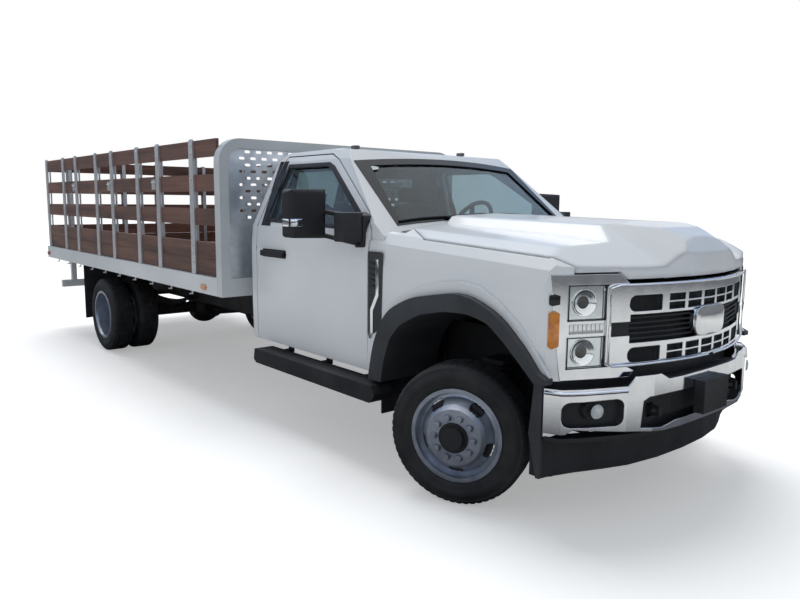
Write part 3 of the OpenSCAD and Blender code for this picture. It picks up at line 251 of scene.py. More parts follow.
def boards(name, low, high, rear_x):
    """Painted boards whose grain runs along x, and across the truck on those behind rear_x."""
    look = Look(name)
    along = look.node("ShaderNodeSeparateXYZ", look.place).outputs["X"]
    behind = look.node("ShaderNodeMath", along, operation="LESS_THAN")
    behind.inputs[1].default_value = rear_x
    grained = look.node("ShaderNodeMix", behind.outputs[0], data_type="VECTOR")
    look.join(look.stretched((GRAIN_ALONG, GRAIN_ACROSS, GRAIN_ACROSS)), grained.inputs[VECTOR_A])
    look.join(look.stretched((GRAIN_ACROSS, GRAIN_ALONG, GRAIN_ACROSS)), grained.inputs[VECTOR_B])
    coarse = look.noise(1.6, 9.0, place=grained.outputs[VECTOR_OUT])
    fine = look.noise(7.0, 5.0, place=grained.outputs[VECTOR_OUT])
    tone = look.noise(1.0, 2.0, stretch=(0.7, 0.7, 7.0))
    mixed = look.node("ShaderNodeMath", tone, operation="MULTIPLY_ADD")
    mixed.inputs[1].default_value = 0.8
    look.join(look.between(coarse, -0.2, 0.45), mixed.inputs[2])
    look.colour(look.ramp(mixed.outputs[0], low, high, 0.3, 0.75))
    look.roughness(coarse, 0.38, 0.62)
    look.bump(fine, 0.0007, 0.003)
    return look.material


def glazing(name, tint):
    look = Look(name, Transmission_Weight=1.0, IOR=1.45)
    look.colour(look.ramp(look.noise(2.0, 2.0), tint, tuple(min(1.0, c * 1.06) for c in tint)))
    look.roughness(look.noise(8.0, 6.0), 0.0, 0.03)
    return look.material


RACK_REAR_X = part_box("rack_boards")[0].x + 0.03
# An x that no board is behind
PAST_ALL = -99.0
WHITES = ((0.80, 0.82, 0.85), (0.86, 0.88, 0.90))
LOOKS = {
    "chassis_paint": CHASSIS_COAT,
    "cab_paint": paint("cab_white", *WHITES),
    "chrome": chrome("chrome_plate"),
    "grey_plastic": moulded("dark_grey_plastic", (0.030, 0.032, 0.036), (0.048, 0.051, 0.056)),
    "black_plastic": moulded("black_plastic", (0.011, 0.011, 0.012), (0.022, 0.022, 0.024)),
    "glass": glazing("tinted_glass", (0.40, 0.50, 0.53)),
    "interior": moulded("cab_trim", (0.10, 0.10, 0.105), (0.15, 0.15, 0.155), (0.55, 0.75)),
    "seat_vinyl": VINYL,
    "tyre": rubber("tyre_rubber"),
    "wheel_silver": cast_metal("wheel_silver", (0.36, 0.39, 0.45), (0.50, 0.53, 0.59)),
    "bed_paint": paint("bed_grey", (0.66, 0.69, 0.71), (0.76, 0.79, 0.81), (0.35, 0.5), 0.25),
    "bulkhead_grey": paint("bulkhead_grey", (0.58, 0.61, 0.63), (0.68, 0.71, 0.73), (0.35, 0.5), 0.25),
    "sheet_metal": BRIGHT_SHEET,
    "plank_wood": boards("deck_planks", (0.13, 0.085, 0.055), (0.33, 0.22, 0.14), PAST_ALL),
    "rack_wood": boards("rack_boards", (0.062, 0.028, 0.020), (0.235, 0.105, 0.070), RACK_REAR_X),
    "galvanised": GALVANISED,
    "rubber": rubber("flap_rubber"),
    "lamp": lens("amber_lens", (0.75, 0.22, 0.02), (0.95, 0.36, 0.05), 3.0),
    "headlamp": chrome("lamp_chrome"),
}
BLACK = LOOKS["black_plastic"]
DARK_GLOSS = moulded("gloss_black", (0.006, 0.006, 0.007), (0.012, 0.012, 0.014), (0.12, 0.25), 500.0,
                     0.00002)
PAD_GREY = moulded("pad_grey", (0.10, 0.105, 0.11), (0.15, 0.155, 0.16), (0.3, 0.45), 500.0, 0.00005)
MIRROR_GLASS = chrome("mirror_glass")
PAPER = moulded("blank_paper", (0.62, 0.72, 0.70), (0.74, 0.81, 0.79), (0.6, 0.75), 300.0, 0.00005, 0.0)
NUT_METAL = cast_metal("nut_metal", (0.10, 0.11, 0.12), (0.24, 0.25, 0.27))
HOOD_WHITE = paint("hood_white", *WHITES, edge=0.05)
RED_LENS = lens("red_lens", (0.45, 0.01, 0.01), (0.70, 0.03, 0.02), 3.0)
CLEAR_LENS = glazing("clear_lens", (0.92, 0.95, 0.96))
FOG_GLASS = lens("fog_glass", (0.55, 0.58, 0.60), (0.85, 0.88, 0.90), 5.0)
# The record's material slot that each look of a piece belongs to
SLOTS = {look.name: slot for slot, look in LOOKS.items()}
SLOTS.update(gloss_black="black_plastic", pad_grey="lamp", mirror_glass="chrome", blank_paper="glass",
             nut_metal="galvanised", clear_lens="headlamp", fog_glass="headlamp")


def dress_nodes():
    """Gives each CAD node the look of its material slot in the record, and the hood its rounder paint."""
    slots = {part["node"]: part["material_slot"] for part in frame["record"]["subparts"]}
    for name, node in NODES.items():
        look = HOOD_WHITE if name == "hood" else LOOKS[slots[name]]
        if not node.data.materials:
            node.data.materials.append(look)
        for slot in node.material_slots:
            slot.material = look


# Surfaces of the cab that several pieces lie on
CAB_HALF = 1005
BELT_Z = 1456
# A door's upper part: its lean inwards by height, and its normal as (y, z)
LEAN = 193 / 478
DOOR_NORMAL = (0.927, 0.374)
GLASS_INSET = 12
# The windscreen: its foot as (x, z), its slope, and the radius of its bow from above
SCREEN_BASE = (-600, 1530)
SCREEN_SLOPE = math.atan2(460, 565)
SCREEN_BOW = 6700
# The cab's rear wall: a place on it as (x, z), and its lean forwards by height
REAR_WALL = (-2167, 1450)
REAR_LEAN = 77 / 540
# The front's outline from above, as (x, y)
FRONT_PLAN = ((600, 1005), (650, 990), (690, 940), (745, 810), (805, 665), (860, 510), (905, 340),
              (933, 180), (945, 0))


def door_push(side, out):
    """A step out from the leaning upper part of a door."""
    return step(0, side * out * DOOR_NORMAL[0], out * DOOR_NORMAL[1])


def door_spot(x, z, side, out=0.0):
    """A point on the leaning upper part of a door, out from it by a distance."""
    return at(x, side * (CAB_HALF - GLASS_INSET - (z - BELT_Z) * LEAN), z) + door_push(side, out)


def screen_spot(u, y, out):
    """A point on the windscreen's outer face, u up its slope from its base."""
    back = out - (SCREEN_BOW - math.sqrt(SCREEN_BOW ** 2 - y ** 2))
    return at(SCREEN_BASE[0] - u * math.cos(SCREEN_SLOPE) + back * math.sin(SCREEN_SLOPE), y,
              SCREEN_BASE[1] + u * math.sin(SCREEN_SLOPE) + back * math.cos(SCREEN_SLOPE))


def rear_spot(y, z, out):
    """A point on the cab's rear wall, out behind it by a distance."""
    return at(REAR_WALL[0] + (z - REAR_WALL[1]) * REAR_LEAN - out, y, z)


def front_x(y):
    """The x of the front's outline at a distance y from the middle."""
    for (x0, y0), (x1, y1) in zip(FRONT_PLAN, FRONT_PLAN[1:]):
        if y0 >= abs(y) >= y1:
            return x0 + (x1 - x0) * (y0 - abs(y)) / (y0 - y1)
    return FRONT_PLAN[0][0]


# Faces of CAD nodes that take a look of their own
# A face's middle and normal, and the lowest and highest corner of the solid that it belongs to
Face = namedtuple("Face", "middle normal low high")
# Lenses are the low and shallow solids of the headlamps that reach this far forward
LENS_FRONT = 778
LENS_DEPTH = 118
LENS_HEIGHT = 300
REAR_LAMPS_X = -5000
HUB_DARK_R = 83
# Trim on a door stands out past the first y, and its lining faces inwards within the second
DOOR_TRIM_Y = 1005.5
DOOR_LINING_Y = 960
# The room in the cab, and how far in front of a face the point is that has to be in it
ROOM_X = (-2105, -765)
ROOM_Z = (875, 1995)
ROOM_HALF = 973
ROOM_SCREEN_GAP = 20
ROOM_STEP = 60


def solid_boxes(mesh, spots):
    """For each face, the lowest and highest corner of the solid that it belongs to."""
    keys = [tuple(round(c, 1) for c in spot) for spot in spots]
    parent = {key: key for key in keys}

    def root(key):
        while parent[key] != key:
            parent[key] = parent[parent[key]]
            key = parent[key]
        return key

    for face in mesh.polygons:
        first = root(keys[face.vertices[0]])
        for i in face.vertices[1:]:
            parent[root(keys[i])] = first
    boxes = {}
    for key, spot in zip(keys, spots):
        low, high = boxes.setdefault(root(key), (spot.copy(), spot.copy()))
        for axis in range(3):
            low[axis] = min(low[axis], spot[axis])
            high[axis] = max(high[axis], spot[axis])
    return [boxes[root(keys[face.vertices[0]])] for face in mesh.polygons]


def face_looks(name, choose):
    """Gives each face of a CAD node the look that choose(face) names, where it names one."""
    node = NODES[name]
    mesh = node.data
    turn = node.matrix_world.to_3x3()
    spots = [from_axle(node.matrix_world @ v.co) for v in mesh.vertices]
    for face, (low, high) in zip(mesh.polygons, solid_boxes(mesh, spots)):
        middle = sum((spots[i] for i in face.vertices), Vector()) / len(face.vertices)
        look = choose(Face(middle, turn @ face.normal, low, high))
        if look is None:
            continue
        if look.name not in mesh.materials:
            mesh.materials.append(look)
        face.material_index = mesh.materials.find(look.name)


def lamp_face(face):
    """Lenses of the headlamps; their chrome stays."""
    size = face.high - face.low
    is_lens = size.x < LENS_DEPTH and size.z < LENS_HEIGHT and face.high.x > LENS_FRONT
    return CLEAR_LENS if is_lens else None


def bed_lamp_face(face):
    return RED_LENS if face.middle.x < REAR_LAMPS_X else None


def hub_face(word):
    """What darkens the faces of a front rim that are near its axle."""
    joint = JOINTS[f"front_{word}_spin"]
    centre = from_axle(Vector(joint["pos_m"]))
    axis = Vector(joint["axis"]).normalized()

    def choose(face):
        away = face.middle - centre
        return BLACK if (away - axis * away.dot(axis)).length < HUB_DARK_R else None

    return choose


def door_face(face):
    """Black trim outside and the lining inside; the paint stays."""
    if abs(face.middle.y) > DOOR_TRIM_Y:
        return BLACK
    inwards = face.normal.y * math.copysign(1, face.middle.y) < -0.5
    return LOOKS["interior"] if inwards and abs(face.middle.y) < DOOR_LINING_Y else None


def cab_face(face):
    """The walls, the roof and the floor of the room in the cab."""
    spot = face.middle + face.normal * ROOM_STEP
    past_screen = ((spot.x - SCREEN_BASE[0]) * math.sin(SCREEN_SLOPE)
                   + (spot.z - SCREEN_BASE[1]) * math.cos(SCREEN_SLOPE))
    half = ROOM_HALF - max(0, spot.z - BELT_Z) * LEAN
    in_box = ROOM_X[0] < spot.x < ROOM_X[1] and ROOM_Z[0] < spot.z < ROOM_Z[1]
    return LOOKS["interior"] if in_box and past_screen < -ROOM_SCREEN_GAP and abs(spot.y) < half else None


def dress_faces():
    face_looks("headlamps", lamp_face)
    face_looks("bed_lamps", bed_lamp_face)
    face_looks("cab_shell", cab_face)
    for _, word in SIDES:
        face_looks(f"door_{word}", door_face)
        face_looks(f"front_rim_{word}", hub_face(word))


# Meshes
# Edges that turn more than this stay sharp, or are bevelled where a piece has a bevel
SHARP = math.radians(40)
# Points closer than this, in metres, become one
CLOSE = 0.000001


def piece(name, look, parts, bevel=0.0, body="chassis"):
    """One object of all the parts, each (vertices, faces), on a body, in one look."""
    mesh = bmesh.new()
    for vertices, faces in parts:
        made = [mesh.verts.new(v) for v in vertices]
        for face in faces:
            mesh.faces.new([made[i] for i in face])
    bmesh.ops.dissolve_degenerate(mesh, edges=mesh.edges, dist=CLOSE)
    bmesh.ops.recalc_face_normals(mesh, faces=mesh.faces)
    if bevel:
        edges = [e for e in mesh.edges if len(e.link_faces) == 2 and e.calc_face_angle() > SHARP]
        bmesh.ops.bevel(mesh, geom=edges, offset=bevel * MM, segments=2, profile=0.6, affect="EDGES")
    for face in mesh.faces:
        face.smooth = True
    for edge in mesh.edges:
        edge.smooth = len(edge.link_faces) == 2 and edge.calc_face_angle() < SHARP
    data = bpy.data.meshes.new(name)
    mesh.to_mesh(data)
    mesh.free()
    data.materials.append(look)
    made = bpy.data.objects.new(name, data)
    bpy.context.scene.collection.objects.link(made)
    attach(made, body)
    return made


def turns(count):
    """Angles that share a full turn."""
    return [2 * math.pi * i / count for i in range(count)]


def polar(radius, angle, height=0.0):
    """A point round the z axis."""
    return Vector((radius * math.cos(angle), radius * math.sin(angle), height))


def rounded(value, power):
    """A sine or cosine pulled out towards a rectangle, whose corners are rounder the nearer power is to 1."""
    return math.copysign(abs(value) ** power, value)


def prism(outline, along):
    """An outline of points pushed along a vector, both in metres."""
    n = len(outline)
    vertices = list(outline) + [p + along for p in outline]
    sides = [(i, (i + 1) % n, n + (i + 1) % n, n + i) for i in range(n)]
    return vertices, [tuple(reversed(range(n))), tuple(range(n, 2 * n))] + sides


def block(low, high):
    """A block between two corners given with at()."""
    ends = ((low.x, low.y), (high.x, low.y), (high.x, high.y), (low.x, high.y))
    return prism([Vector((x, y, low.z)) for x, y in ends], Vector((0, 0, high.z - low.z)))


def side_block(side, low, high):
    """A block between two corners (x, y, z) on one side, with y measured outwards from the middle."""
    y0, y1 = sorted((side * low[1], side * high[1]))
    return block(at(low[0], y0, low[2]), at(high[0], y1, high[2]))


def side_plate(side, outline, y, thick):
    """An outline (x, z) that stands on one side at a distance y from the middle."""
    return prism([at(x, side * y, z) for x, z in outline], step(0, side * thick, 0))


def level_plate(side, outline, low, high):
    """An outline (x, y) on one side that fills the heights from low to high."""
    return prism([at(x, side * y, low) for x, y in outline], step(0, 0, high - low))


def round_faces(n, count):
    """The faces between count closed outlines of n points that stand round an axis."""
    return [(i * n + k, i * n + (k + 1) % n, (i + 1) % count * n + (k + 1) % n, (i + 1) % count * n + k)
            for i in range(count) for k in range(n)]


def turned(profile, place, count):
    """A closed profile of (radius, distance) turned round the z axis of the matrix place."""
    vertices = [place @ (polar(r, a, h) * MM) for a in turns(count) for r, h in profile]
    return vertices, round_faces(len(profile), count)


def disc(radius, height, place, count):
    """A cylinder along the z axis of the matrix place, with count flat sides."""
    vertices, faces = prism([polar(radius, a) * MM for a in turns(count)], step(0, 0, height))
    return [place @ v for v in vertices], faces


def tube(points, radius, count=8):
    """A round bar of one radius that follows points."""
    vertices = []
    for i, point in enumerate(points):
        ahead = points[min(i + 1, len(points) - 1)] - points[max(i - 1, 0)]
        turn = ahead.to_track_quat("Z", "Y")
        vertices += [point + turn @ (polar(radius, a) * MM) for a in turns(count)]
    last = len(vertices) - count
    faces = [(i + k, i + (k + 1) % count, i + (k + 1) % count + count, i + k + count)
             for i in range(0, last, count) for k in range(count)]
    return vertices, faces + [tuple(range(count)), tuple(reversed(range(last, last + count)))]


def ring(outer, inner, spot, top, low):
    """A band between two outlines of as many points, on the surface spot(point, height)."""
    n = len(outer)
    vertices = [spot(p, h) for h in (top, low) for line in (outer, inner) for p in line]
    bands = ((0, n), (2 * n, 3 * n), (0, 2 * n), (n, 3 * n))
    return vertices, [(a + i, a + (i + 1) % n, b + (i + 1) % n, b + i) for i in range(n) for a, b in bands]


def facing(point, direction):
    """A matrix at a point whose z axis looks along direction."""
    return Matrix.Translation(point) @ direction.to_track_quat("Z", "Y").to_matrix().to_4x4()


def side_facing(side, x, y, z, way):
    """A matrix on one side of the truck whose z axis looks along way, (forwards, outwards)."""
    return facing(at(x, side * y, z), Vector((way[0], side * way[1], 0)))


# Wheels: each is built round a matrix whose z axis is the axle, pointing outwards
TYRE_W = 225
RIM_R = 260.5
TYRE_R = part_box("front_tyre_right")[1].z / 2 / MM
# Grooves round the tread, by how far they are from its middle
GROOVES = (16, 48)
GROOVE_W = 8
GROOVE_DEPTH = 10
GROOVE_SLANT = 0.5
# The outline past the grooves: (below the tread, in from the sidewall), then (above the rim, in from it)
SHOULDER = ((0, 50), (2, 30), (8, 22), (14, 17), (22, 12), (26, 13.5), (36, 10), (48, 4))
SIDEWALL = ((66, 0.5), (50, 1), (48, 2.5), (40, 2.5), (24, 6), (14, 8), (10, 11), (4, 12), (0.6, 17),
            (-12, 23))
# Cross cuts: their depth in the tread and below its edge, and how far down and in they reach
CUT_COUNT = 60
CUT_DEPTH = 6
CUT_DROP = 16
CUT_LENGTH = 60
EDGE_DROP = 3
EDGE_CUT = 2
DUAL_HALF = 135
STUD_CIRCLE = 112.5
STUD_COUNT = 10
NUT_R = 16
# A nut's flange as shares of its (radius, height), and the share of the height where its hexagon starts
FLANGE = ((1.25, 0.0), (1.25, 0.12), (1.02, 0.2), (0.5, 0.2), (0.5, 0.0))
HEXAGON_FOOT = 0.15
# By axle: the place of the wheel disc's face, the height of its nuts, and its hub's profile
DISC_FACE = {"front": 136, "rear": -1}
NUT_H = {"front": 22, "rear": 38}
HUB = {"front": ((81, -8), (81, 3), (76, 4), (70, -4), (30, -6), (0, -6), (0, -8)),
       "rear": ((81, -8), (81, 2), (78, 2), (74, -8))}
# The brake drum behind the disc's openings
DRUM = ((120, -62), (205, -62), (205, -74), (120, -74))


def wheel_place(name, side):
    joint = JOINTS[name]
    return facing(Vector(joint["pos_m"]), Vector(joint["axis"]) * side)


def tyre_profile():
    """Half of the tyre's outline, (radius, distance from the middle), from the tread's middle to the bead."""
    profile = [(TYRE_R, 0)]
    for groove in GROOVES:
        a, b = groove - GROOVE_W / 2, groove + GROOVE_W / 2
        profile += [(TYRE_R, a), (TYRE_R - GROOVE_DEPTH, a + GROOVE_SLANT),
                    (TYRE_R - GROOVE_DEPTH, b - GROOVE_SLANT), (TYRE_R, b)]
    profile += [(TYRE_R - below, TYRE_W / 2 - inwards) for below, inwards in SHOULDER]
    return profile + [(RIM_R + above, TYRE_W / 2 - inwards) for above, inwards in SIDEWALL]


def cut_depth(i, radius, y):
    """The depth of the cross cuts, one in four steps in the shoulders and one in eight in the middle."""
    in_shoulder = abs(y) > TYRE_W / 2 - CUT_LENGTH
    in_middle = i % 8 == 0 and abs(y) < GROOVES[-1]
    if i % 4 or radius <= TYRE_R - CUT_DROP or not (in_shoulder or in_middle):
        return 0
    return CUT_DEPTH if radius > TYRE_R - EDGE_DROP else EDGE_CUT


def tyre_mesh(place, middle):
    """A tyre with its middle at a distance along the axle."""
    half = tyre_profile()
    profile = [(r, -y) for r, y in reversed(half[1:])] + half
    count = CUT_COUNT * 4
    vertices = [place @ (polar(r - cut_depth(i, r, y), a, y + middle) * MM)
                for i, a in enumerate(turns(count)) for r, y in profile]
    return vertices, round_faces(len(profile), count)


def nut_mesh(place, radius, height, angle):
    """A flanged hexagon nut that stands on the matrix place's plane, turned by an angle."""
    foot = place @ Matrix.Translation(step(0, 0, height * HEXAGON_FOOT)) @ Matrix.Rotation(angle, 4, "Z")
    return [turned([(radius * r, height * h) for r, h in FLANGE], place, 24),
            disc(radius, height * (1 - HEXAGON_FOOT), foot, 6)]


def make_wheels():
    for side, word in SIDES:
        front = wheel_place(f"front_{word}_spin", side)
        rear = wheel_place(f"rear_{word}_spin", side)
        tyre = piece(f"tyre_front_{word}", LOOKS["tyre"], [tyre_mesh(front, 0)], body=f"wheel_front_{word}")
        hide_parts(f"front_tyre_{word}")
        pair = piece(f"tyres_rear_{word}", LOOKS["tyre"],
                     [tyre_mesh(rear, -DUAL_HALF), tyre_mesh(rear, DUAL_HALF)], body=f"wheel_rear_{word}")
        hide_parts(f"rear_tyres_{word}")
        for place, axle in ((front, "front"), (rear, "rear")):
            face = place @ Matrix.Translation(step(0, 0, DISC_FACE[axle]))
            nuts = []
            for a in turns(STUD_COUNT):
                stud = face @ Matrix.Translation(polar(STUD_CIRCLE, a) * MM)
                nuts += nut_mesh(stud, NUT_R, NUT_H[axle], a)
            wheel = f"wheel_{axle}_{word}"
            hub = [turned(HUB[axle], face, 40), turned(DRUM, face, 48)]
            piece(f"hub_{axle}_{word}", BLACK, hub, body=wheel)
            piece(f"nuts_{axle}_{word}", NUT_METAL, nuts, 1, wheel)


# Seats
# A cushion's points through and round it, and the powers that round its edges and corners
PAD_RINGS = 28
PAD_STEPS = 40
PAD_EDGE = 0.32
PAD_CORNER = 0.36
# How much its sides are pulled in and its faces crowned, as shares, and the shape of its seams
PAD_PULL = 0.035
PAD_CROWN = 0.10
SEAM_DEPTH = 7
SEAM_NARROW = 5
SEAM_FROM = 0.8
SEAT_SEAMS = 5
# Each place: its name, middle, half width, and whether it has a headrest
SEAT_PLACES = (("right", -430, 245, True), ("middle", 0, 145, False), ("left", 430, 245, True))
SEAT_BASE_X = (-1880, -1400)
SEAT_BASE_Z = (880, 1070)
SEAT_BASE_INSET = 30
PAD_INSET = 5
# Middles (x, z) of the cushion, the back and the headrest, and their half lengths and thicknesses
SEAT_AT, SEAT_HALF, SEAT_TILT = (-1620, 1130), (270, 70), math.radians(-4)
BACK_AT, BACK_HALF, BACK_TILT = (-1880, 1405), (225, 62), math.radians(-17)
HEAD_AT, HEAD_HALF = (-1950, 1700), (62, 130, 48)
HEAD_POSTS = ((-1932, 1600), (-1945, 1680))
HEAD_POST_Y = 45


def cushion(place, half, seams=0):
    """A padded block of half sizes in the matrix place; seams are channels sewn across its z side."""
    vertices = []
    for i in range(1, PAD_RINGS):
        up = math.pi * i / PAD_RINGS
        for a in turns(PAD_STEPS):
            flat = rounded(math.sin(up), PAD_EDGE)
            spot = Vector((flat * rounded(math.cos(a), PAD_CORNER), flat * rounded(math.sin(a), PAD_CORNER),
                           rounded(math.cos(up), PAD_EDGE)))
            pull = 1 - PAD_PULL * (1 - abs(spot.z)) * (2 - abs(spot.x) - abs(spot.y))
            spot = Vector((spot.x * half[0] * pull, spot.y * half[1] * pull, spot.z * half[2]))
            spot.z *= 1 + PAD_CROWN * (1 - (spot.x / half[0]) ** 2) * (1 - (spot.y / half[1]) ** 2)
            if seams and abs(spot.z) > half[2] * SEAM_FROM:
                wave = abs(math.sin(math.pi * seams * (spot.x / half[0] + 1) / 2))
                spot.z -= math.copysign(SEAM_DEPTH, spot.z) * max(0.0, 1 - wave * SEAM_NARROW)
            vertices.append(place @ (spot * MM))
    top = len(vertices)
    vertices += [place @ step(0, 0, way * half[2] * (1 + PAD_CROWN)) for way in (1, -1)]
    last = (PAD_RINGS - 2) * PAD_STEPS
    faces = []
    for a in range(last):
        b = a - a % PAD_STEPS + (a + 1) % PAD_STEPS
        faces.append((a, b, b + PAD_STEPS, a + PAD_STEPS))
    for k in range(PAD_STEPS):
        faces.append((top, (k + 1) % PAD_STEPS, k))
        faces.append((top + 1, last + k, last + (k + 1) % PAD_STEPS))
    return vertices, faces


def make_seats():
    """Two outer places with headrests and a middle one, each a cushion and a back on a base."""
    on_end = Matrix.Rotation(math.radians(-90), 4, "Y")
    for word, y, half, headrest in SEAT_PLACES:
        low = at(SEAT_BASE_X[0], y - half + SEAT_BASE_INSET, SEAT_BASE_Z[0])
        high = at(SEAT_BASE_X[1], y + half - SEAT_BASE_INSET, SEAT_BASE_Z[1])
        base = piece(f"seat_base_{word}", LOOKS["interior"], [block(low, high)], 10)
        seat = Matrix.Translation(at(SEAT_AT[0], y, SEAT_AT[1])) @ Matrix.Rotation(SEAT_TILT, 4, "Y")
        back = Matrix.Translation(at(BACK_AT[0], y, BACK_AT[1])) @ Matrix.Rotation(BACK_TILT, 4, "Y")
        pads = [cushion(seat, (SEAT_HALF[0], half - PAD_INSET, SEAT_HALF[1]), SEAT_SEAMS)]
        pads.append(cushion(back @ on_end, (BACK_HALF[0], half - PAD_INSET, BACK_HALF[1]), SEAT_SEAMS))
        if headrest:
            pads.append(cushion(Matrix.Translation(at(HEAD_AT[0], y, HEAD_AT[1])) @ on_end, HEAD_HALF))
        for i, pad in enumerate(pads):
            made = piece(f"seat_pad_{word}_{i}", VINYL, [pad])
        if headrest:
            posts = [tube([at(x, y + d, z) for x, z in HEAD_POSTS], 7) for d in (-HEAD_POST_Y, HEAD_POST_Y)]
            piece(f"headrest_posts_{word}", LOOKS["chrome"], posts)
        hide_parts("seats")


# Windows
# The windscreen's border: its foot and head up the slope, and its half widths there
BORDER_OUTER = (14, 668, 830, 792)
BORDER_INNER = (46, 604, 792, 694)
BORDER_STEPS = 14
# Outlines on the rear wall as (y, z), and on the leaning part of a door as (x, z)
REAR_SEAL_OUTER = ((-640, 1480), (640, 1480), (612, 1880), (-612, 1880))
REAR_SEAL_INNER = ((-600, 1518), (600, 1518), (572, 1842), (-572, 1842))
SEAL_OUTER = ((-818, 1552), (-1322, 1886), (-1396, 1914), (-1930, 1914), (-1998, 1490), (-878, 1464))
SEAL_INNER = ((-868, 1538), (-1338, 1854), (-1408, 1884), (-1908, 1884), (-1968, 1514), (-884, 1494))
DOOR_PILLAR = ((-1946, 1940), (-1999, 1938), (-2036, 1792), (-2051, 1690), (-2051, 1612), (-2039, 1462),
               (-1911, 1460), (-1925, 1512), (-1930, 1706), (-1945, 1846))
CAB_PILLAR = ((-2012, 1938), (-2066, 1938), (-2065, 1801), (-2060, 1715), (-2046, 1790))
COVER_T = 3
WINDOW_SHEET = ((-1791, 1858), (-1361, 1860), (-1250, 1800), (-1215, 1605), (-1322, 1640), (-1344, 1704),
                (-1755, 1733))
SHEET_OUT = -24
SHEET_T = 0.6
# The blank disc: its middle and half sizes, up the windscreen and across, and its two faces
DISC_AT = (578, -690)
DISC_HALF = (20, 48)
DISC_OUT = (1.5, 2.3)
# The ends of each wiper's blade across the windscreen
WIPERS = (("near", -800, -60), ("far", 40, 720))
BLADE_U = 46
BLADE_STEPS = 8


def screen_outline(low, high, half_low, half_high):
    shares = [2 * i / BORDER_STEPS - 1 for i in range(BORDER_STEPS + 1)]
    return [(low, half_low * share) for share in shares] + [(high, -half_high * share) for share in shares]


def wiper(start, end):
    """An arm from the cowl to the middle of a blade, and the blade, which follows the glass."""
    arm = [screen_spot(-20, end, 6), screen_spot(-6, end + (start - end) * 0.1, 16),
           screen_spot(34, (start + end) / 2, 14)]
    blade = [screen_spot(BLADE_U + 4 * math.sin(i), start + (end - start) * i / BLADE_STEPS, 9)
             for i in range(BLADE_STEPS + 1)]
    return [tube(arm, 9), tube(blade, 8)]


def make_windows():
    border = ring(screen_outline(*BORDER_OUTER), screen_outline(*BORDER_INNER),
                  lambda p, h: screen_spot(*p, h), 2.5, -6)
    piece("windscreen_border", DARK_GLOSS, [border])
    rear = ring(REAR_SEAL_OUTER, REAR_SEAL_INNER, lambda p, h: rear_spot(*p, h), 3, -8)
    piece("rear_window_seal", BLACK, [rear])
    oval = [screen_spot(DISC_AT[0] + DISC_HALF[0] * math.sin(a), DISC_AT[1] + DISC_HALF[1] * math.cos(a),
                        DISC_OUT[0]) for a in turns(24)]
    disc_push = screen_spot(*DISC_AT, DISC_OUT[1]) - screen_spot(*DISC_AT, DISC_OUT[0])
    piece("blank_disc", PAPER, [prism(oval, disc_push)])
    for side, word in SIDES:
        seal = ring(SEAL_OUTER, SEAL_INNER, lambda p, h: door_spot(*p, side, h), 3, -10)
        piece(f"window_seal_{word}", BLACK, [seal], 1.5, f"door_{word}")
        for outline, body in ((DOOR_PILLAR, f"door_{word}"), (CAB_PILLAR, "chassis")):
            cover = prism([door_spot(x, z, side) for x, z in outline], door_push(side, COVER_T))
            piece(f"pillar_cover_{body}_{word}", DARK_GLOSS, [cover], body=body)
    sheet = prism([door_spot(x, z, -1, SHEET_OUT) for x, z in WINDOW_SHEET], door_push(-1, -SHEET_T))
    piece("window_sheet", PAPER, [sheet], body="door_right")
    for name, start, end in WIPERS:
        piece(f"wiper_{name}", BLACK, wiper(start, end))


# Front
# The grille's mesh: its ends across, its bands in height, its wires and their pitches
MESH_Y = (390, 588)
MESH_BANDS = ((866, 943), (1122, 1203))
WIRE = 2.2
WIRE_T = 3
ROW_PITCH = 9
COLUMN_PITCH = 10
COLUMNS = 20
# Sheets behind the grille, each by its half width, heights, distance and steps across
BACKINGS = ((700, (862, 1256), -40, 12), (900, (640, 1250), -66, 16))
BACKING_T = 3
# The dam's corner from above, as (x, y), and its heights
DAM_CORNER = ((560, 974), (634, 974), (641, 932), (655, 908), (640, 896), (560, 950))
DAM_Z = (305, 500)
BADGE_HALF = (152, 80)
BADGE_Z = 1044
BADGE_OUT = 15
BADGE_T = 8
BADGE_POWER = 0.45
# The bumper's upper edge from above, as (x, y), with its height and the radius of its roll
BUMPER_EDGE = ((644, 980), (682, 966), (720, 950), (752, 908), (780, 860), (815, 785), (848, 712),
               (870, 662), (880, 640))
BUMPER_EDGE_Z = 744
BUMPER_ROLL = 11
# The grille's chrome rim: heights of its head, side and foot, and the bar itself
RIM_HEAD_Z = 1257
RIM_SIDE_Z = (1244, 1060, 876)
RIM_FOOT_Z = 860
RIM_SIDE_Y = 712
RIM_PITCH = 35
RIM_OUT = 24
RIM_BAR = 7
# Side markers: their line (x, y), the way they face, and their foot, head and cut corners
MARKER_LINE = (Vector((653, 987)), Vector((686, 945)))
MARKER_WAY = Vector((0.78, 0.62))
MARKER_GAP = 1.5
MARKER_T = 5
AMBER_MARKER = (956, 1144, 14)
DARK_MARKER = (1164, 1222, 8)
# Headlamps: the heights of the lower and upper one, the ends of their frames, and the frames' bars
LAMP_BANDS = ((855, 1010), (1088, 1262))
LAMP_Y = (717, 909)
LAMP_BAR = 4
FRAME_OUT = 7.5
CUP_Y = 814
CUP_BACK = 20
CUP_WAY = (0.92, 0.39)
# Profiles of the lamps' parts, as (radius, distance) from their middles
LAMP_CUP = ((62, 10), (66, 12), (66, 16), (60, 16), (44, 4), (38, 2), (38, 0), (50, 2))
LAMP_CORE = ((0, 6), (16, 5), (28, 1), (34, -4), (0, -6))
FOG_LENS = ((0, 12), (14, 11), (26, 8), (34, 3), (36, -2), (0, -4))
FOG_AT = (822, 800, 654)
FOG_WAY = (0.93, 0.36)
# The row of clear strips between the lamps
STRIP_COUNT = 8
STRIP_Y = 728
STRIP_W = 18
STRIP_PITCH = 22
STRIP_Z = (1024, 1074)
STRIP_OUT = 6


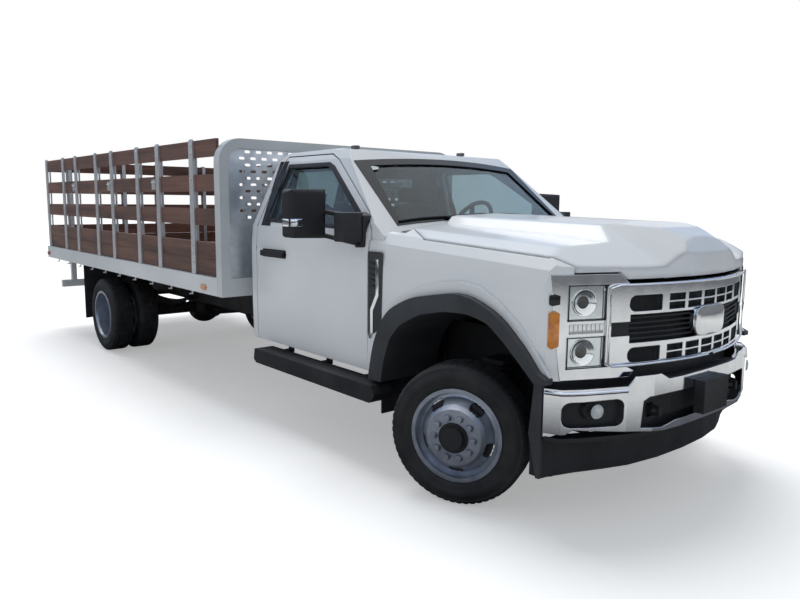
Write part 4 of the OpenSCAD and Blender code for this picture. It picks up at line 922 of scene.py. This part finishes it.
def front_strip(side, ys, zs, out, thick, steps):
    """A strip on the bowed front between two distances from the middle, out in front of it by a distance."""
    line = [ys[0] + (ys[1] - ys[0]) * i / steps for i in range(steps + 1)]
    outline = [at(front_x(y) + out, side * y, zs[0]) for y in line]
    outline += [at(front_x(y) + out - thick, side * y, zs[0]) for y in reversed(line)]
    return prism(outline, step(0, 0, zs[1] - zs[0]))


def grille_mesh(side):
    wires = []
    for low, high in MESH_BANDS:
        wires += [front_strip(side, MESH_Y, (z, z + WIRE), -6, WIRE_T, 5)
                  for z in range(low + 4, low + 4 + int((high - low) / ROW_PITCH) * ROW_PITCH, ROW_PITCH)]
        wires += [front_strip(side, (y, y + WIRE), (low + 2, high - 2), -7, WIRE_T, 1)
                  for y in (MESH_Y[0] + 6 + i * COLUMN_PITCH for i in range(COLUMNS))]
    return wires


def badge_outline():
    outline = []
    for a in turns(48):
        y = BADGE_HALF[0] * rounded(math.cos(a), BADGE_POWER)
        z = BADGE_Z + BADGE_HALF[1] * rounded(math.sin(a), BADGE_POWER)
        outline.append(at(front_x(y) + BADGE_OUT, y, z))
    return outline


def grille_rim(side):
    places = [(y, RIM_HEAD_Z) for y in range(0, 700, RIM_PITCH)]
    places += [(RIM_SIDE_Y, z) for z in RIM_SIDE_Z]
    places += [(y, RIM_FOOT_Z) for y in range(690, -1, -RIM_PITCH)]
    return tube([at(front_x(y) + RIM_OUT, side * y, z) for y, z in places], RIM_BAR, 10)


def marker(side, low, high, cut):
    """A lens with cut corners on the fender's front corner."""
    outline = []
    corners = ((0, low + cut), (0.3, low), (1, low + cut), (1, high - cut), (0.5, high), (0, high - cut))
    for share, z in corners:
        spot = MARKER_LINE[0].lerp(MARKER_LINE[1], share) + MARKER_WAY * MARKER_GAP
        outline.append(at(spot.x, side * spot.y, z))
    return prism(outline, step(MARKER_WAY.x, side * MARKER_WAY.y, 0) * MARKER_T)


def lamp_frame(side, low, high):
    uprights = [front_strip(side, (y, y + LAMP_BAR), (low, high), FRAME_OUT, LAMP_BAR, 1)
                for y in (LAMP_Y[0], LAMP_Y[1] - LAMP_BAR)]
    return uprights + [front_strip(side, LAMP_Y, (z, z + LAMP_BAR), FRAME_OUT, LAMP_BAR, 4)
                       for z in (low + 1, high - LAMP_BAR - 1)]


def make_grille_trim():
    mesh = grille_mesh(-1) + grille_mesh(1)
    piece("grille_mesh", BLACK, mesh)
    backing = [front_strip(side, (0, half), zs, out, BACKING_T, steps)
               for half, zs, out, steps in BACKINGS for side in (-1, 1)]
    backing += [level_plate(side, DAM_CORNER, *DAM_Z) for side in (-1, 1)]
    piece("grille_backing", BLACK, backing)
    badge = prism(badge_outline(), step(BADGE_T, 0, 0))
    piece("blank_badge", LOOKS["chrome"], [badge], 3)
    rims = []
    for side in (-1, 1):
        rims.append(tube([at(x, side * y, BUMPER_EDGE_Z) for x, y in BUMPER_EDGE], BUMPER_ROLL, 12))
        rims.append(grille_rim(side))
    piece("grille_rim", LOOKS["chrome"], rims)


def make_lamp_trim():
    amber, dark, strips, frames, cups, cores, fog = [], [], [], [], [], [], []
    for side in (-1, 1):
        amber.append(marker(side, *AMBER_MARKER))
        dark.append(marker(side, *DARK_MARKER))
        for i in range(STRIP_COUNT):
            y = STRIP_Y + i * STRIP_PITCH
            strips.append(front_strip(side, (y, y + STRIP_W), STRIP_Z, STRIP_OUT, STRIP_OUT, 2))
        for low, high in LAMP_BANDS:
            frames += lamp_frame(side, low, high)
            spot = side_facing(side, front_x(CUP_Y) - CUP_BACK, CUP_Y, (low + high) / 2, CUP_WAY)
            cups.append(turned(LAMP_CUP, spot, 40))
            cores.append(turned(LAMP_CORE, spot, 32))
        fog.append(turned(FOG_LENS, side_facing(side, *FOG_AT, FOG_WAY), 32))
    piece("side_markers", LOOKS["lamp"], amber, 1.5)
    piece("side_reflectors", DARK_GLOSS, dark, 1.5)
    piece("lamp_strips", CLEAR_LENS, strips, 2)
    piece("lamp_frames", BLACK, frames)
    piece("lamp_cups", LOOKS["headlamp"], cups)
    piece("lamp_cores", DARK_GLOSS, cores)
    piece("fog_lenses", FOG_GLASS, fog)


# Sides: outlines as (x, z), and corners as (x, y, z) with y measured outwards from the middle
HOOK_STRIP = ((-632, 1300), (-606, 1300), (-601, 1080), (-655, 982), (-655, 850), (-680, 806), (-696, 806),
              (-698, 822), (-682, 862), (-682, 990), (-628, 1088))
HOOK_Y, HOOK_T = 1008, 5
VENT_FIN = ((-700, 1009, 1130), (-640, 1013, 1142))
FIN_PITCH = 34
FIN_COUNT = 5
LINERS = (((-562, 470, 400), (560, 480, 900)), ((-585, 480, 350), (-573, 1000, 820)))
HANDLE_CUP = ((-1998, 1232), (-1674, 1232), (-1668, 1262), (-1674, 1292), (-1998, 1292))
HANDLE_Y, HANDLE_T = 1004.5, 2
SIGNALS = (((-1062, 1262, 1486), (-1046, 1346, 1536)), ((-1128, 1350, 1486), (-1056, 1359, 1536)))
ROOF_LAMP = ((-1500, 516, 2020), (-1440, 556, 2046))
DOOR_LININGS = (((-2050, 925, 700), (-760, 940, 1430)), ((-1850, 870, 1130), (-1150, 930, 1180)))
# The mirror's knuckle from above, as (x, y), and its panes as (y, z)
MIRROR_KNUCKLE = ((-754, 1012), (-846, 1012), (-905, 1080), (-882, 1142), (-792, 1128), (-747, 1060))
KNUCKLE_Z = (1398, 1578)
MIRROR_PANES = (((1085, 1545), (1335, 1545), (1335, 1695), (1110, 1700)),
                ((1085, 1432), (1335, 1432), (1335, 1530), (1085, 1530)))
PANE_X, PANE_T = -1151, 3


def make_side_trim():
    for side, word in SIDES:
        door = f"door_{word}"
        hook = side_plate(side, HOOK_STRIP, HOOK_Y, HOOK_T)
        piece(f"hook_strip_{word}", LOOKS["chrome"], [hook], 2)
        fins = [side_block(side, *(Vector(corner) + Vector((0, 0, i * FIN_PITCH)) for corner in VENT_FIN))
                for i in range(FIN_COUNT)]
        piece(f"vent_fins_{word}", DARK_GLOSS, fins, 1)
        liners = [side_block(side, *corners) for corners in LINERS]
        piece(f"wheel_liner_{word}", BLACK, liners, 2)
        cup = side_plate(side, HANDLE_CUP, HANDLE_Y, HANDLE_T)
        piece(f"handle_cup_{word}", DARK_GLOSS, [cup], body=door)
        knuckle = level_plate(side, MIRROR_KNUCKLE, *KNUCKLE_Z)
        piece(f"mirror_knuckle_{word}", BLACK, [knuckle], 8, door)
        panes = [prism([at(PANE_X, side * y, z) for y, z in pane], step(-PANE_T, 0, 0))
                 for pane in MIRROR_PANES]
        piece(f"mirror_panes_{word}", MIRROR_GLASS, panes, 2, door)
        signals = [side_block(side, *corners) for corners in SIGNALS]
        piece(f"mirror_signal_{word}", LOOKS["headlamp"], signals, 6, door)
        piece(f"roof_lamp_{word}", PAD_GREY, [side_block(side, *ROOF_LAMP)], 8)
        linings = [side_block(side, *corners) for corners in DOOR_LININGS]
        piece(f"door_trim_{word}", LOOKS["interior"], linings, 12, door)


# Bed: the racks' boards and posts, and the deck's crossmembers and planks
DECK_Z = 1047
BOARD_W = 133
BOARD_ROWS = [DECK_Z, DECK_Z + BOARD_W + 2] + [DECK_Z + BOARD_W * i for i in (3, 5, 7)]
BOARD_MIDDLE = 66
RACK_FRONT = -2355
RACK_PITCH = 1190
RACK_COUNT = 4
POST_STEPS = (430, 1130)
POST_PLACES = [RACK_FRONT - i * RACK_PITCH - along for i in range(RACK_COUNT) for along in POST_STEPS]
RACK_OUT = 1204
REAR_PANEL = 1149
REAR_POSTS = [REAR_PANEL * share for share in (-0.8, -0.2, 0.2, 0.8)]
REAR_OUT = -7127
# The folded channel over each post, as (across, out from it), with its foot and its gap to the post's top
CHANNEL = ((-37, -12), (-37, 3), (37, 3), (37, -12), (34, -12), (34, 0), (-34, 0), (-34, -12))
CHANNEL_IN = 3
CHANNEL_FOOT = 1050
CHANNEL_GAP = 8
BOLT_R, BOLT_H, BOLT_STEP = 9, 5, 32
CROSS_FRONT = -2383
CROSS_PITCH = 4657 / 12
CROSS_COUNT = 13
PLANK_COUNT = 18
PLANK_W = 130
SCREW_R, SCREW_H, SCREW_STEP = 6, 1.2, 38
SCREW_DROP = 0.4
PIPE = ((-1000, -190, 640), (-1300, -250, 600), (-1900, -290, 560), (-4000, -290, 560))
PIPE_R = 45
MUFFLER_AT = (-2250, -290, 545)
MUFFLER_R, MUFFLER_L = 115, 900


def make_bed_trim():
    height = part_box("rack_posts")[1].z / MM - CHANNEL_GAP - CHANNEL_FOOT
    outlines = [[at(x + a, side * (RACK_OUT - CHANNEL_IN + b), CHANNEL_FOOT) for a, b in CHANNEL]
                for x in POST_PLACES for side in (-1, 1)]
    outlines += [[at(REAR_OUT + CHANNEL_IN - b, y + a, CHANNEL_FOOT) for a, b in CHANNEL] for y in REAR_POSTS]
    channels = [prism(outline, step(0, 0, height)) for outline in outlines]
    piece("post_channels", GALVANISED, channels)
    spots = [side_facing(side, x, RACK_OUT, z + BOARD_MIDDLE + dz, (0, 1))
             for x in POST_PLACES for z in BOARD_ROWS for side in (-1, 1) for dz in (-BOLT_STEP, BOLT_STEP)]
    bolts = [disc(BOLT_R, BOLT_H, spot, 10) for spot in spots]
    piece("rack_bolts", GALVANISED, bolts)
    screws = []
    for i in range(CROSS_COUNT):
        for k in range(PLANK_COUNT):
            for dy in (-SCREW_STEP, SCREW_STEP):
                y = (k + 0.5 - PLANK_COUNT / 2) * PLANK_W + dy
                spot = at(CROSS_FRONT - i * CROSS_PITCH, y, DECK_Z - SCREW_DROP)
                screws.append(disc(SCREW_R, SCREW_H, Matrix.Translation(spot), 8))
    piece("deck_screws", CHASSIS_COAT, screws)
    pipe = tube([at(*place) for place in PIPE], PIPE_R, 16)
    muffler = disc(MUFFLER_R, MUFFLER_L, facing(at(*MUFFLER_AT), Vector((-1, 0, 0))), 40)
    piece("exhaust", CHASSIS_COAT, [pipe, muffler])


# Light and stage
# The ground that chrome shows, painted by the distance in metres from the truck's footprint, as shares: painted
# shadow near the footprint, pale further out, then a dark band as painted reflection
GROUND_REACH = 14
PAINTED_GROUND_STOPS = ((0.0, (0.03, 0.03, 0.035)), (0.09, (0.10, 0.10, 0.11)), (0.16, (0.72, 0.71, 0.68)),
                (0.42, (0.88, 0.87, 0.83)), (0.62, (0.50, 0.50, 0.48)), (0.78, (0.10, 0.10, 0.10)),
                (1.0, (0.16, 0.16, 0.16)))
# So large that heights above the ground don't count as distance
TALL = 9
FLOOR_REACH = 60
FLOOR_Z = -0.002
FLOOR_GLOW = 0.36
# The sky that gloss shows, by height from straight down at 0 to straight up at 1
SKY_STOPS = ((0.0, (0.30, 0.30, 0.31)), (0.49, (0.30, 0.30, 0.29)), (0.505, (0.045, 0.05, 0.045)),
             (0.535, (0.08, 0.085, 0.08)), (0.555, (0.95, 0.97, 1.0)), (0.64, (0.30, 0.44, 0.72)),
             (0.76, (0.42, 0.56, 0.80)), (0.92, (0.93, 0.96, 1.0)))
SKY_COLOUR = (0.84, 0.92, 1.0, 1)
SKY_LIGHT = 0.34
SUN_LIGHT = 1.9
SUN_ANGLE = math.radians(40)
SUN_WAY = Vector((0.45, -0.15, -1))


def fill_ramp(ramp, stops):
    for position, colour in stops[2:]:
        ramp.elements.new(position).color = (*colour, 1)
    for element, (position, colour) in zip(sorted(ramp.elements, key=lambda e: e.position), sorted(stops)):
        element.position = position
        element.color = (*colour, 1)


# The floor's colour in gloss: painted shadow near the truck's footprint, pale further out, then a dark band as
# painted reflection
def painted_shadow_reflection_ground(look):
    low, high = cad_box
    middle, half = (low + high) / 2, (high - low) / 2

    def vector_math(operation, source, by=(0, 0, 0)):
        made = look.node("ShaderNodeVectorMath", source, operation=operation)
        made.inputs[1].default_value = by
        return made.outputs

    place = vector_math("SUBTRACT", look.place, (middle.x, middle.y, 0))["Vector"]
    past = vector_math("SUBTRACT", vector_math("ABSOLUTE", place)["Vector"], (half.x, half.y, TALL))["Vector"]
    away = vector_math("LENGTH", vector_math("MAXIMUM", past)["Vector"])["Value"]
    share = look.node("ShaderNodeMath", away, operation="DIVIDE")
    share.inputs[1].default_value = GROUND_REACH
    made = look.node("ShaderNodeValToRGB", share.outputs[0])
    fill_ramp(made.color_ramp, PAINTED_GROUND_STOPS)
    return made.outputs["Color"]


def make_stage():
    """A pale floor that glows a little to the camera alone and shows chrome a painted ground of its own: painted
    shadow round the truck and a dark band further out as painted reflection.
    """
    floor = bpy.data.objects.new("floor", bpy.data.meshes.new("floor"))
    corners = [(x * FLOOR_REACH, y * FLOOR_REACH, FLOOR_Z) for x, y in ((-1, -1), (1, -1), (1, 1), (-1, 1))]
    floor.data.from_pydata(corners, [], [(0, 1, 2, 3)])
    look = Look("floor_white", Roughness=0.9)
    pale = look.ramp(look.noise(0.6, 2.0), (0.90, 0.90, 0.90), (0.92, 0.92, 0.92))
    paths = look.node("ShaderNodeLightPath").outputs
    # Glossy rays see the painted shadow and reflection of the ground instead of the pale floor
    ground = look.node("ShaderNodeMix", paths["Is Glossy Ray"], data_type="RGBA")
    look.join(pale, ground.inputs[COLOUR_A])
    look.join(painted_shadow_reflection_ground(look), ground.inputs[COLOUR_B])
    look.colour(ground.outputs[COLOUR_OUT])
    glow = look.node("ShaderNodeEmission", Strength=FLOOR_GLOW).outputs[0]
    dark = look.node("ShaderNodeEmission", Strength=0.0).outputs[0]
    chosen = look.node("ShaderNodeMixShader", paths["Is Camera Ray"], dark, glow)
    both = look.node("ShaderNodeAddShader", look.shader.outputs[0], chosen.outputs[0])
    look.join(both.outputs[0], look.tree.nodes["Material Output"].inputs["Surface"])
    floor.data.materials.append(look.material)
    bpy.context.scene.collection.objects.link(floor)


def make_world():
    """White to the camera and through glass, the sky's colours in gloss, and a soft light elsewhere."""
    world = bpy.data.worlds.new("studio")
    bpy.context.scene.world = world
    world.use_nodes = True
    graph = Graph(world.node_tree)
    graph.tree.nodes.clear()
    paths = graph.node("ShaderNodeLightPath").outputs
    direction = graph.node("ShaderNodeSeparateXYZ", graph.node("ShaderNodeTexCoord").outputs["Generated"])
    height = graph.node("ShaderNodeMapRange", direction.outputs["Z"], From_Min=-1)
    sky = graph.node("ShaderNodeValToRGB", height.outputs["Result"])
    fill_ramp(sky.color_ramp, SKY_STOPS)
    glossy = graph.node("ShaderNodeBackground", sky.outputs["Color"]).outputs[0]
    white = graph.node("ShaderNodeBackground", Color=(1, 1, 1, 1)).outputs[0]
    soft = graph.node("ShaderNodeBackground", Color=SKY_COLOUR, Strength=SKY_LIGHT).outputs[0]
    seen = graph.node("ShaderNodeMath", paths["Is Camera Ray"], paths["Is Transmission Ray"],
                      operation="MAXIMUM")
    lit = graph.node("ShaderNodeMixShader", paths["Is Glossy Ray"], soft, glossy)
    shown = graph.node("ShaderNodeMixShader", seen.outputs[0], lit.outputs[0], white)
    graph.node("ShaderNodeOutputWorld", shown.outputs[0])


def make_sun():
    sun = bpy.data.objects.new("overhead", bpy.data.lights.new("overhead", "SUN"))
    sun.data.energy = SUN_LIGHT
    sun.data.angle = SUN_ANGLE
    sun.rotation_euler = SUN_WAY.to_track_quat("-Z", "Y").to_euler()
    bpy.context.scene.collection.objects.link(sun)


make_camera()
make_stage()
make_world()
make_sun()
bpy.context.scene.view_settings.view_transform = "Standard"
dress_nodes()
dress_faces()
make_wheels()
make_seats()
make_windows()
make_grille_trim()
make_lamp_trim()
make_side_trim()
make_bed_trim()
